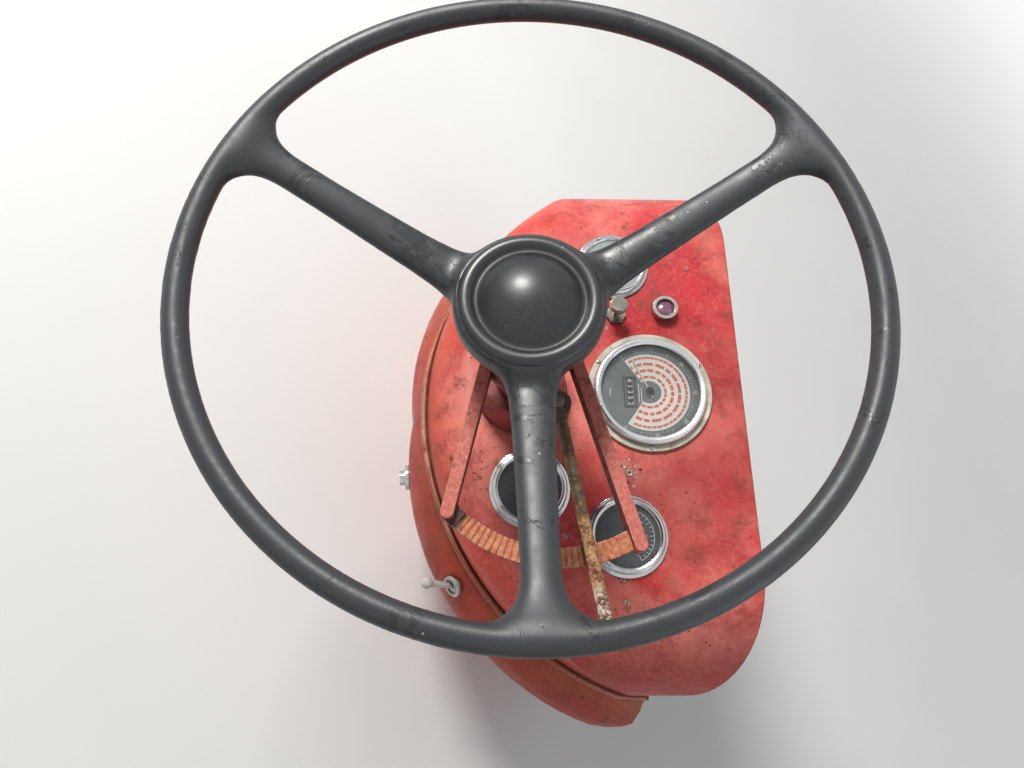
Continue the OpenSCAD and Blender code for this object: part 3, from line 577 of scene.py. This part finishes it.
# Stains of the panel: x, y and radius in metres, colour, strength
STAINS = ((0.176, -0.079, 0.010, "#8a4a33", 0.8), (0.172, -0.111, 0.011, "#8c5037", 0.8),
          (0.141, -0.108, 0.012, "#8f4a3c", 0.6), (0.130, -0.134, 0.014, "#8f4a3c", 0.65),
          (0.115, -0.156, 0.013, "#9a5548", 0.6), (0.188, 0.073, 0.013, "#6d4a36", 0.85),
          (-0.052, 0.008, 0.010, "#7a3527", 0.7), (-0.068, -0.015, 0.012, "#8a3c2a", 0.7),
          (-0.070, -0.047, 0.013, "#7d3a2b", 0.75), (0.087, -0.070, 0.012, "#d9a596", 0.5),
          (0.095, -0.198, 0.034, "#8c4438", 0.55), (0.060, -0.226, 0.030, "#8a5238", 0.6),
          (0.150, -0.200, 0.040, "#94504a", 0.5), (0.160, -0.030, 0.030, "#c9736a", 0.5))
LOOKS = {
    "cowl": sheet_paint("cowl_red", "#d13a3f", "#da4c2e", "#ef9183", "#9e2630", STAINS),
    "shroud": sheet_paint("shroud_red", "#a93431", "#b63f29", "#c8624f", "#7a2226"),
    # the bead's paler paint is partly wear and partly a painted highlight along the rolled bead
    "bead": sheet_paint("bead_red_pale_highlight", "#cd8874", "#cf7c62", "#ecc8b8", "#96503c", wear=0.3, seam=0.15),
    "collar": cast_paint("collar_maroon", "#7a2a2c", "#94393a", "#4c1b1c", metal_spots=False),
    "cast": cast_paint("cast_grey", "#787b7c", "#93969a", "#56524d"),
    "tube": cast_paint("tube_maroon", "#7c2925", "#94392f", "#4e1c19", metal_spots=False),
    "bracket": bracket_paint(),
    "rubber": wheel_rubber(),
    "cap": cap_black(),
    "chrome": chrome(),
    "silver": chrome("silver_plate", "#cdd0d1", 0.25),
    "bright": chrome("bright_plate", "#b3aea2", 0.2),
    "dull": chrome("dull_plate", "#8b867c", 0.26),
    "pale": cast_paint("pale_plate", "#c9c9c4", "#dcdcd8", "#9a968c", metal_spots=False),
    "screw": cast_paint("painted_screw", "#b5756a", "#c9a193", "#7a4238", metal_spots=False),
    "pawl": steel("oily_spring", "#5a4a3a", "#3c2f25", rusty=0.9),
    "cream": cream_ring(),
    "meter": dial("meter_face", "#555b5e", "#6c7376", "#959b9c"),
    "black_dial": dial("black_dial", "#15171a", "#24272b"),
    "glass": glass("meter_glass", 0.05),
    "small_glass": glass("gauge_glass", 0.08, True),
    "lens": lens(),
    "lever": lever_paint(),
    "steel": steel("bare_steel", "#9a9a97", "#7a7873"),
    "nut": steel("worn_nut", "#7d7a73", "#5f594f", rusty=0.9),
    "can": can_metal(),
    "bush": rubber_bush(),
    "brass": brass(),
    "cream_paint": printed("cream_paint", "#e6dec6", "#cfc4a6"),
    "white_print": printed("white_print", "#f4f2ea", "#dcdad2"),
    "red_print": printed("red_print", "#d4492f", "#df7354"),
    "black_print": printed("black_print", "#16181a", "#2a2d30"),
}

# The look of each node of the CAD
DRESS = {
    "steering_box": "cast", "column_foot": "cast", "column_tube": "tube", "column_bush": "bush",
    "column_collar": "collar", "cowl_panel": "cowl", "lower_shroud": "shroud", "meter_can": "can",
    "meter_ring": "cream", "meter_bezel": "silver", "meter_dial": "meter", "meter_needle": "cream_paint",
    "meter_glass": "glass", "gauge_cans": "can", "gauge_bezels": "chrome", "gauge_dials": "black_dial",
    "gauge_needles": "cream_paint", "gauge_glasses": "small_glass", "lamp_bezel": "bright",
    "lamp_lens": "lens", "pull_switch": "dull", "toggle_switch": "pale", "push_button": "chrome",
    "throttle_bracket": "bracket", "throttle_lever": "lever", "throttle_shaft": "nut",
    "throttle_pawl": "pawl", "steering_wheel": "rubber", "hub_cap": "cap", "wheel_nut": "nut",
    "steering_shaft": "steel", "cross_shaft": "steel",
}
for name, key in DRESS.items():
    mats = nodes[name].data.materials
    if len(mats) == 0:
        mats.append(LOOKS[key])
    for i in range(len(mats)):
        mats[i] = LOOKS[key]


# Helpers that make pieces
def placed(name, data):
    """A new object in the scene."""
    obj = bpy.data.objects.new(name, data)
    bpy.context.scene.collection.objects.link(obj)
    return obj


def piece(name, bm, look, body="console", smooth=40):
    """An object made of bm, with the edges sharp that turn by more than smooth degrees."""
    mesh = bpy.data.meshes.new(name)
    bmesh.ops.recalc_face_normals(bm, faces=bm.faces)
    bm.to_mesh(mesh)
    bm.free()
    mesh.materials.append(LOOKS[look])
    mesh.shade_smooth()
    mesh.set_sharp_from_angle(angle=math.radians(smooth))
    obj = placed(name, mesh)
    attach(obj, body)
    return obj


def taken(mesh):
    """A bmesh with the mesh's shape; the mesh itself goes."""
    bm = bmesh.new()
    bm.from_mesh(mesh)
    bpy.data.meshes.remove(mesh)
    return bm


def evaluated(obj):
    """The mesh that an object's text or modifiers give; the object itself goes."""
    bpy.context.view_layer.update()
    mesh = bpy.data.meshes.new_from_object(obj.evaluated_get(bpy.context.evaluated_depsgraph_get()))
    bpy.data.objects.remove(obj)
    return mesh


def lathe(bm, profile, matrix, n=32, spin=0.0):
    """Turns (radius, height) pairs about the Z axis of matrix; radius 0 closes an end."""
    rings = []
    for r, z in profile:
        if r < 1e-7:
            rings.append([bm.verts.new(matrix @ Vector((0, 0, z)))])
            continue
        circle = [around((0, 0), r, spin + 2 * math.pi * i / n) for i in range(n)]
        rings.append([bm.verts.new(matrix @ Vector((x, y, z))) for x, y in circle])
    for a, b in zip(rings, rings[1:]):
        for i in range(n):
            j = (i + 1) % n
            if len(a) == 1:
                bm.faces.new((a[0], b[i], b[j]))
            elif len(b) == 1:
                bm.faces.new((a[i], a[j], b[0]))
            else:
                bm.faces.new((a[i], a[j], b[j], b[i]))


def skin(bm, rings):
    """Walls from each ring of points to the next, and a face on either end."""
    for a, b in zip(rings, rings[1:]):
        for i in range(len(a)):
            j = (i + 1) % len(a)
            bm.faces.new((a[i], a[j], b[j], b[i]))
    bm.faces.new(rings[0][::-1])
    bm.faces.new(rings[-1])


def hex_bolt(bm, matrix, af, h, washer=None, spin=0.0):
    """A hexagon af across its flats with the end of a thread; washer is the radius of one under it."""
    z = 0.0
    if washer:
        z = 0.0018
        lathe(bm, [(0, 0), (washer, 0), (washer, 0.0014), (washer - 0.0004, z), (0, z)], matrix, 28)
    c = af / math.sqrt(3)
    lathe(bm, [(0, z), (c, z), (c, z + h - c * 0.13), (c * 0.87, z + h), (0, z + h)], matrix, 6, spin)
    lathe(bm, [(0, z + h), (c * 0.45, z + h), (c * 0.42, z + h + 0.0012), (0, z + h + 0.0012)], matrix, 20)


def box(bm, matrix, lo, hi):
    """A block with slightly broken edges."""
    e = min(hi[i] - lo[i] for i in range(3)) * 0.18
    made = bmesh.ops.create_cube(bm, size=1.0)["verts"]
    for v in made:
        v.co = Vector([lo[i] + (v.co[i] + 0.5) * (hi[i] - lo[i]) for i in range(3)])
    edges = list({ed for v in made for ed in v.link_edges})
    out = bmesh.ops.bevel(bm, geom=edges, offset=e, segments=1, affect="EDGES")
    for v in {v for f in out["faces"] for v in f.verts} | {v for v in made if v.is_valid}:
        v.co = matrix @ v.co


def tube(bm, path, r, n=10):
    """A round bar of radius r along a path."""
    rings = []
    side = None
    for i, p in enumerate(path):
        t = (path[min(i + 1, len(path) - 1)] - path[max(i - 1, 0)]).normalized()
        side = t.orthogonal().normalized() if side is None else (side - t * side.dot(t)).normalized()
        up = t.cross(side)
        rings.append([bm.verts.new(p + r * (math.cos(q) * side + math.sin(q) * up))
                      for q in (2 * math.pi * j / n for j in range(n))])
    skin(bm, rings)


def arc_bar(bm, matrix, r0, r1, a0, a1, z0, z1, step=3.0):
    """A flat bar bent round the Z axis, from angle a0 to a1 in degrees."""
    n = max(1, round(abs(a1 - a0) / step))
    rings = []
    for i in range(n + 1):
        a = math.radians(a0 + (a1 - a0) * i / n)
        rings.append([bm.verts.new(matrix @ Vector((*around((0, 0), r, a), z)))
                      for r, z in ((r0, z0), (r1, z0), (r1, z1), (r0, z1))])
    skin(bm, rings)


def figure(bm, text, size, matrix, thick):
    """Adds figures as thin solid strokes, centred on the origin of matrix."""
    curve = bpy.data.curves.new("figure", "FONT")
    curve.body = text
    curve.size = size
    curve.align_x = "CENTER"
    curve.align_y = "CENTER"
    curve.extrude = thick / 2
    curve.resolution_u = 3
    mesh = evaluated(placed("figure", curve))
    mesh.transform(matrix)
    bm.from_mesh(mesh)
    bpy.data.curves.remove(curve)
    bpy.data.meshes.remove(mesh)


def remeshed(mesh, voxel):
    """The shape of a mesh in even quads of the voxel's size; the mesh itself goes."""
    obj = placed("remeshing", mesh)
    mod = obj.modifiers.new("remesh", "REMESH")
    mod.mode = "VOXEL"
    mod.voxel_size = voxel
    out = evaluated(obj)
    bpy.data.meshes.remove(mesh)
    return out


def swollen(mesh, amount):
    """The mesh with every point moved along its normal."""
    moved = [v.co + v.normal * amount for v in mesh.vertices]
    for v, co in zip(mesh.vertices, moved):
        v.co = co
    mesh.update()
    return mesh


def tick(bm, face, angle, r0, r1, half):
    """A radial line of print on a dial's face, half of its width to either side."""
    box(bm, face @ Matrix.Rotation(angle, 4, "Z"), (r0, -half, 0), (r1, half, INK))


def pan_screw(bm, m, r, h):
    """A screw's low rounded head."""
    lathe(bm, [(0, -0.0004), (r, -0.0004), (r, h * 0.35), (r * 0.8, h * 0.85), (r * 0.5, h), (0, h)], m, 24)


def slot_shade_mark(bm, m, r, h):
    """The slot in such a head, as a black bar: painted shade in the recess."""
    box(bm, m, (-r * 0.85, -r * 0.14, h - 0.0002), (r * 0.85, r * 0.14, h + 0.00008))


# The hand wheel: the node's own shape, swollen and shrunk again, which fills its inner corners with fillets
FILLET = 0.008
VOXELS = (0.0018, 0.0022, 0.0017)
wheel_mesh = remeshed(nodes["steering_wheel"].data.copy(), VOXELS[0])
wheel_mesh = remeshed(swollen(wheel_mesh, FILLET), VOXELS[1])
wheel_mesh = remeshed(swollen(wheel_mesh, -FILLET), VOXELS[2])
wheel_bm = taken(wheel_mesh)
for i in range(5):
    bmesh.ops.smooth_vert(wheel_bm, verts=wheel_bm.verts, factor=0.5,
                          use_axis_x=True, use_axis_y=True, use_axis_z=True)
moulding = piece("wheel_moulding", wheel_bm, "rubber", "wheel", 180)
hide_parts("steering_wheel")

# The shroud: the node's own shape, shaded as the curved sheet that it is
WELD = 0.00002
shroud_mesh = nodes["lower_shroud"].data.copy()
if "custom_normal" in shroud_mesh.attributes:
    shroud_mesh.attributes.remove(shroud_mesh.attributes["custom_normal"])
shroud_bm = taken(shroud_mesh)
bmesh.ops.remove_doubles(shroud_bm, verts=shroud_bm.verts, dist=WELD)
shroud = piece("shroud_sheet", shroud_bm, "shroud", "console", 34)
shroud.modifiers.new("even", "WEIGHTED_NORMAL").keep_sharp = True
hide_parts("lower_shroud")

# The cap in its hub, in radii and heights from the hub's top edge: the dome is part of a ball
BALL_R = 0.0483
BALL_INSIDE_R = 0.0458
BALL_Z = -0.0358
DOME_R = 0.0322
DOME_INSIDE_R = 0.029
VALLEY = [(0.0336, -0.00095), (0.0344, -0.00145), (0.0351, -0.0016), (0.0358, -0.00138), (0.0364, -0.0009)]
ROLL_AT, ROLL_R = (0.0416, -0.0044), 0.0062
ROLL_ANGLES = range(140, 5, -5)
CAP_SIDE = [(0.0470, -0.0050), (0.0445, -0.0060), (0.04448, -0.0125), (0.042, -0.0125), (0.042, -0.006)]
CAP_INSIDE = [(0.036, -0.0042), (0.031, -0.0035)]


def dome(ball, reach, steps):
    """Points of the dome from its middle out to reach."""
    radii = [reach * i / steps for i in range(steps + 1)]
    return [(r, BALL_Z + math.sqrt(ball * ball - r * r)) for r in radii]


profile = dome(BALL_R, DOME_R, steps=24) + VALLEY
profile += [around(ROLL_AT, ROLL_R, math.radians(a)) for a in ROLL_ANGLES]
for _ in range(3):
    inner = [((a[0] + 2 * b[0] + c[0]) / 4, (a[1] + 2 * b[1] + c[1]) / 4)
             for a, b, c in zip(profile, profile[1:], profile[2:])]
    profile = [profile[0]] + inner + [profile[-1]]
profile += CAP_SIDE + CAP_INSIDE + dome(BALL_INSIDE_R, DOME_INSIDE_R, steps=11)[::-1]
cap_bm = bmesh.new()
lathe(cap_bm, profile, COLUMN @ Matrix.Translation((0, 0, HUB_TOP)), 96)
cap = piece("cap_moulding", cap_bm, "cap", "wheel", 180)
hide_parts("hub_cap")

# The large meter's print. Its top is ahead, along +X of the panel; the scale runs SPAN degrees to either side
DIAL = on_panel(*METER, DIAL_T)
INK = 0.00012
SPAN = 125.0
PALE_BANDS = ((0.0102, 0.0122), (0.0152, 0.0180), (0.0214, 0.0240), (0.0274, 0.0300), (0.0322, 0.0345))
# radii of each dashed band, then the degrees that a dash and the space after it take up
DASH_BANDS = ((0.0122, 0.0152, 22, 5), (0.0180, 0.0214, 16, 4),
              (0.0240, 0.0274, 19, 3.5), (0.0300, 0.0328, 9, 1.4))
DASH_INSET = 0.0004
DASH_START, DASH_STAGGER, DASH_STOP, DASH_END = 2, 1.7, 4, 1
TICKS, TICK_R0 = 60, 0.0362
# outer radius and half width of a long tick and of a short one
LONG_TICK, SHORT_TICK = (0.0385, 0.0002), (0.0374, 0.00012)
FIGURES, FIGURE_R, FIGURE_H = 6, 0.0392, 0.0042
LINE_X, LINE_HALF = (-0.0335, -0.0328), 0.0032  # a short line at the dial's foot
# two lines beside the counter: the place and the left end of each
RULE_W, RULE_Y0, RULES = 0.0006, -0.0095, ((-0.0092, 0.0075), (-0.0072, 0.004))
white, red = bmesh.new(), bmesh.new()
for r0, r1 in PALE_BANDS:
    arc_bar(white, DIAL, r0, r1, -SPAN, SPAN, 0, INK)
for ring, (r0, r1, dash, space) in enumerate(DASH_BANDS):
    arc_bar(white, DIAL, r0, r1, -SPAN, SPAN, 0, INK * 0.8)
    a = -SPAN + DASH_START + ring * DASH_STAGGER
    while a < SPAN - DASH_STOP:
        d = dash * rng.uniform(0.55, 1.15)
        end = min(a + d, SPAN - DASH_END)
        arc_bar(red, DIAL, r0 + DASH_INSET, r1 - DASH_INSET, a, end, 0, INK * 1.6)
        a += d + space * rng.uniform(0.7, 1.2)
for i in range(TICKS + 1):
    r1, half = SHORT_TICK if i % 5 else LONG_TICK
    tick(white, DIAL, math.radians(-SPAN + 2 * SPAN * i / TICKS), TICK_R0, r1, half)
for i in range(FIGURES + 1):
    a = math.radians(SPAN - 2 * SPAN * i / FIGURES)
    at = spot(DIAL, *around((0, 0), FIGURE_R, a), INK / 2, a - math.pi / 2)
    figure(white, str(5 * i), FIGURE_H, at, INK)
box(white, DIAL, (LINE_X[0], -LINE_HALF, 0), (LINE_X[1], LINE_HALF, INK))
for x, y1 in RULES:
    box(white, DIAL, (x, RULE_Y0, 0), (x + RULE_W, y1, INK))
piece("meter_print_white", white, "white_print")
piece("meter_print_red", red, "red_print")

# Counter: dark window frame, five drums seen edge on, one figure on each
WINDOW_X, WINDOW_HALF = (-0.0210, -0.0120), 0.0130
WINDOW_RIM, WINDOW_H = 0.001, 0.0004
COUNTER_PITCH = 0.0052
COUNTER_AXIS = -0.0040
COUNTER_DRUM = [(0, 0), (0.0038, 0), (0.0041, 0.0002), (0.0041, 0.0046), (0.0038, 0.0048), (0, 0.0048)]
DIGIT_Z, DIGIT_H, DIGIT_T = 0.00018, 0.0062, 0.0002
frame_bm, drums, digits = bmesh.new(), bmesh.new(), bmesh.new()
x0, x1 = WINDOW_X
y1 = WINDOW_HALF + WINDOW_RIM
for lo, hi in (((x0 - WINDOW_RIM, -y1), (x0, y1)), ((x1, -y1), (x1 + WINDOW_RIM, y1)),
               ((x0, -y1), (x1, -WINDOW_HALF)), ((x0, WINDOW_HALF), (x1, y1))):
    box(frame_bm, DIAL, (*lo, -WINDOW_H), (*hi, WINDOW_H))
mid = (x0 + x1) / 2
for i, digit in enumerate("41352"):
    y = COUNTER_PITCH * (2 - i)
    side = DIAL @ Matrix.Translation((mid, y - COUNTER_DRUM[-1][1] / 2, COUNTER_AXIS))
    lathe(drums, COUNTER_DRUM, side @ Matrix.Rotation(math.radians(-90), 4, "X"), 36)
    figure(digits, digit, DIGIT_H, spot(DIAL, mid, y, DIGIT_Z, -math.pi / 2), DIGIT_T)
piece("counter_frame", frame_bm, "black_print")
piece("counter_drums", drums, "black_print")
piece("counter_figures", digits, "white_print")

# Hubs of the needles, and the small gauges' print: ticks, an arc and three figures
METER_HUB = [(0, 0.002), (0.0037, 0.002), (0.0037, 0.0028), (0.0031, 0.0032), (0, 0.0033)]
GAUGE_HUB = [(0, 0.0016), (0.0032, 0.0016), (0.0030, 0.0022), (0, 0.0023)]
GAUGE_LONG_R, GAUGE_SHORT_R, GAUGE_TICK_R1, GAUGE_TICK_HALF = 0.0178, 0.0192, 0.0215, 0.00028
GAUGE_ARC_R1, GAUGE_SPAN = 0.0221, 60
GAUGE_FIGURE_R = 0.0150
hubs, prints = bmesh.new(), bmesh.new()
lathe(hubs, METER_HUB, DIAL, 32)
for centre in GAUGES:
    face = on_panel(*centre, DIAL_T)
    lathe(hubs, GAUGE_HUB, face, 24)
    for i in range(13):
        r0 = GAUGE_SHORT_R if i % 3 else GAUGE_LONG_R
        tick(prints, face, math.radians(-GAUGE_SPAN + 10 * i), r0, GAUGE_TICK_R1, GAUGE_TICK_HALF)
    arc_bar(prints, face, GAUGE_TICK_R1, GAUGE_ARC_R1, -GAUGE_SPAN - 1, GAUGE_SPAN + 1, 0, INK)
    for i, text in enumerate(("0", "5", "10")):
        x, y = around((0, 0), GAUGE_FIGURE_R, math.radians(GAUGE_SPAN - GAUGE_SPAN * i))
        figure(prints, text, FIGURE_H, spot(face, x, y, INK / 2, -math.pi / 2), INK)
piece("needle_hubs", hubs, "black_print")
piece("gauge_print", prints, "white_print")

# Screws in the large meter's flange, then on the panel: radius and height of each head
FLANGE_SCREW, FLANGE_CIRCLE, FLANGE_TOP = (0.0019, 0.0008), 0.0500, 0.003
PLATE_SCREW = (0.0024, 0.0009)
PLATE_SCREWS = ((0.0334, -0.121), (0.0773, -0.1545), (0.0794, -0.1715), (0.045, 0.055), (0.150, 0.120))
screws, recess_shade, plate_screws = bmesh.new(), bmesh.new(), bmesh.new()
for a in (28, 148, 268):
    m = on_panel(*around(METER, FLANGE_CIRCLE, math.radians(a)), FLANGE_TOP, a * 3)
    pan_screw(screws, m, *FLANGE_SCREW)
    slot_shade_mark(recess_shade, m, *FLANGE_SCREW)
for x, y in PLATE_SCREWS:
    m = on_panel(x, y, 0.0, rng.uniform(0, 180))
    pan_screw(plate_screws, m, *PLATE_SCREW)
    slot_shade_mark(recess_shade, m, *PLATE_SCREW)
piece("plate_screws", plate_screws, "screw")

# An eyelet between the large meter and the right gauge, with small pits, drawn as black discs of painted
# shade, and pale flakes round it
EYELET_AT = (0.0868, -0.0701)
EYELET = [(0.0014, 0.0002), (0.0026, 0.0002), (0.0028, 0.0007), (0.0024, 0.0011), (0.0014, 0.0009),
          (0.0014, 0.0002)]
ON_PAINT = 0.00002
# painted shade: black discs stand in for small pits in the paint
for i in range(3):
    a = 2 * math.pi * i / 3 + 0.3
    m = on_panel(*around(EYELET_AT, rng.uniform(0.0068, 0.0098), a), ON_PAINT)
    lathe(recess_shade, [(0, 0.0001), (0.0010, 0.0001), (0.0013, 0.0), (0, 0.0)], m, 16)
eyelet, chips = bmesh.new(), bmesh.new()
lathe(eyelet, EYELET, on_panel(*EYELET_AT), 24)
for i in range(9):
    a = 2 * math.pi * i / 9 + 0.1
    m = on_panel(*around(EYELET_AT, rng.uniform(0.0055, 0.0125), a), ON_PAINT)
    w = rng.uniform(0.0007, 0.0014)
    lathe(chips, [(0, 0.00015), (w, 0.00015), (w * 1.2, 0.0), (0, 0.0)], m, 14)
piece("paint_chips", chips, "cream")
piece("panel_screws", screws, "bright")
# painted shade: black marks for the screws' slots and the pits
piece("panel_recess_shade", recess_shade, "black_print")
piece("panel_eyelet", eyelet, "bright")

# Rolled bead along the lip of the cowl. The rounded back leans, so the level seam cuts it in an ellipse
BEAD_R = 0.0021
BEAD_INSET = 0.0012
BEAD_SHORT = 0.003
BEAD_STEPS = 160
bead_z = SEAM_Z + LIP_T / 2
bead_r = DRUM_R + LIP - BEAD_INSET
bead_w = HALF_W + LIP - BEAD_INSET
bead_x = FRONT_X - BEAD_SHORT
drop = PANEL_S * math.cos(TILT) - bead_z
mid_x = (-PANEL_S * math.sin(TILT) + DRUM_X * math.cos(TILT)
         + (DRUM_X * math.sin(TILT) + drop) * math.tan(TILT))
path = [Vector((bead_x, -bead_w, bead_z))]
for i in range(BEAD_STEPS + 1):
    a = math.radians(-90 + 180 * i / BEAD_STEPS)
    x, y = mid_x - bead_r / math.cos(TILT) * math.cos(a), bead_r * math.sin(a)
    if abs(y) <= bead_w and x <= bead_x:
        path.append(Vector((x, y, bead_z)))
path.append(Vector((bead_x, bead_w, bead_z)))
bead = bmesh.new()
tube(bead, path, BEAD_R)
piece("seam_bead", bead, "bead")

# Bolts of the column's foot
bolts = bmesh.new()
reach = FOOT_W / 2 - FOOT_BOLT_IN
for sx in (-1, 1):
    for sy in (-1, 1):
        m = COLUMN @ Matrix.Translation((sx * reach, sy * reach, BOX_TOP + FOOT_PLATE))
        hex_bolt(bolts, m, af=0.013, h=0.0055, washer=0.0095, spin=rng.uniform(0, 1))
piece("foot_bolts", bolts, "nut")

# Clamp bolt of the throttle bracket, across its slit
CLAMP_AT = (0.0085, COLUMN_R + 0.0075, SECTOR_Z - SECTOR_T + 0.003)
clamp = bmesh.new()
hex_bolt(clamp, on_panel(*CLAMP_AT) @ Matrix.Rotation(math.radians(90), 4, "Y"), af=0.008, h=0.004)
piece("clamp_bolt", clamp, "nut")

# Studs with nuts behind the gauges: two on each small one, three on the large meter
GAUGE_STUD = [(0, 0), (0.0021, 0), (0.0021, 0.010), (0.0016, 0.0108), (0, 0.0108)]
METER_STUD = [(0, 0), (0.0024, 0), (0.0024, 0.011), (0, 0.0114)]
GAUGE_STUD_CIRCLE, METER_STUD_CIRCLE = 0.012, 0.032
studs = bmesh.new()


def stud(centre, circle, degrees, depth, profile, **nut):
    """A stud with its nut, pointing away from the back of a can."""
    foot = on_panel(*around(centre, circle, math.radians(degrees)), -depth)
    back = foot @ Matrix.Rotation(math.pi, 4, "X")
    lathe(studs, profile, back, 16)
    hex_bolt(studs, back, **nut)


for centre in GAUGES:
    for a in (40, 220):
        stud(centre, GAUGE_STUD_CIRCLE, a, GAUGE_DEPTH, GAUGE_STUD, af=0.0075, h=0.003, washer=0.005)
for a in (60, 180, 300):
    stud(METER, METER_STUD_CIRCLE, a, METER_DEPTH, METER_STUD, af=0.0085, h=0.0034, washer=0.0055)
piece("gauge_studs", studs, "brass")

# Camera at the photograph's viewpoint, solved from the rim and the gauge panel
CAMERA_AT = (-0.41066, -0.22036, 0.76118)
CAMERA_RIGHT = Vector((0.88125, 0.00040, 0.47265))
CAMERA_DOWN = Vector((0.17239, -0.93138, -0.32064))
CAMERA_LENS, SENSOR_W = 25.893, 36
cam = bpy.data.cameras.new("camera")
cam.lens = CAMERA_LENS
cam.sensor_width = SENSOR_W
cam.sensor_fit = "HORIZONTAL"
cam.clip_start = 0.01
cam_obj = placed("camera", cam)
behind = -CAMERA_RIGHT.cross(CAMERA_DOWN).normalized()
rows = zip(CAMERA_RIGHT, -CAMERA_DOWN, behind, CAMERA_AT)
cam_obj.matrix_world = Matrix((*rows, (0, 0, 0, 1)))
bpy.context.scene.camera = cam_obj

# Floor: further out, the camera sees it run into the pale background
FLOOR_HALF = 15
FADE_FROM, FADE_TO = 0.8, 2.6
PALE = 0.97
corners = [(x * FLOOR_HALF, y * FLOOR_HALF, 0) for x, y in ((-1, -1), (1, -1), (1, 1), (-1, 1))]
floor_mesh = bpy.data.meshes.new("floor")
floor_mesh.from_pydata(corners, [], [(0, 1, 2, 3)])
k = Look("floor", rough=0.9, spec=0.1)
tone = k.mix(k.mask(0.3, 0.7, 3, 3), (0.80, 0.80, 0.79, 1), (0.83, 0.83, 0.82, 1))
floor_mesh.materials.append(k.done(tone))
glow = k.node("ShaderNodeEmission", {"Strength": PALE})
far = k.ramp(k.length(k.co), FADE_FROM, FADE_TO)
fade = k.times(far, k.node("ShaderNodeLightPath").outputs["Is Camera Ray"])
both = k.node("ShaderNodeMixShader", {0: fade, 1: k.bsdf.outputs[0], 2: glow.outputs[0]})
k.put(k.out.inputs[0], both.outputs[0])
floor = placed("floor", floor_mesh)

# Light: a pale even world, which camera, glossy and transmission rays see as the background
LIGHT, LIGHT_STRENGTH = (0.96, 0.98, 1.0, 1), 0.31
BACKGROUND = (1, 1, 1, 1)
world = bpy.data.worlds.new("world")
world.use_nodes = True
bpy.context.scene.world = world
tree = world.node_tree
tree.nodes.clear()
mixer = tree.nodes.new("ShaderNodeMixShader")
for i, (colour, strength) in enumerate(((LIGHT, LIGHT_STRENGTH), (BACKGROUND, PALE))):
    shade = tree.nodes.new("ShaderNodeBackground")
    shade.inputs[0].default_value = colour
    shade.inputs[1].default_value = strength
    tree.links.new(shade.outputs[0], mixer.inputs[i + 1])
rays = tree.nodes.new("ShaderNodeLightPath")
seen = rays.outputs["Is Camera Ray"]
for kind in ("Is Glossy Ray", "Is Transmission Ray"):
    either = tree.nodes.new("ShaderNodeMath")
    either.operation = "MAXIMUM"
    tree.links.new(seen, either.inputs[0])
    tree.links.new(rays.outputs[kind], either.inputs[1])
    seen = either.outputs[0]
tree.links.new(seen, mixer.inputs[0])
tree.links.new(mixer.outputs[0], tree.nodes.new("ShaderNodeOutputWorld").inputs[0])


def lamp(name, place, target, size, power, colour):
    """A round soft lamp that points at target."""
    data = bpy.data.lights.new(name, "AREA")
    data.shape = "DISK"
    data.size = size
    data.energy = power
    data.color = colour
    obj = placed(name, data)
    obj.location = place
    obj.rotation_mode = "QUATERNION"
    obj.rotation_quaternion = (Vector(target) - Vector(place)).to_track_quat("-Z", "Y")


# A warm key lamp from behind and to the left, and a weak cool one opposite
lamp("key", (-1.35, 1.45, 1.75), (0.0, 0.0, 0.3), 0.7, 64, (1.0, 0.985, 0.95))
lamp("fill", (1.2, -1.4, 1.2), (0.0, 0.0, 0.25), 1.6, 6, (0.95, 0.97, 1.0))

bpy.context.scene.view_settings.view_transform = "Standard"
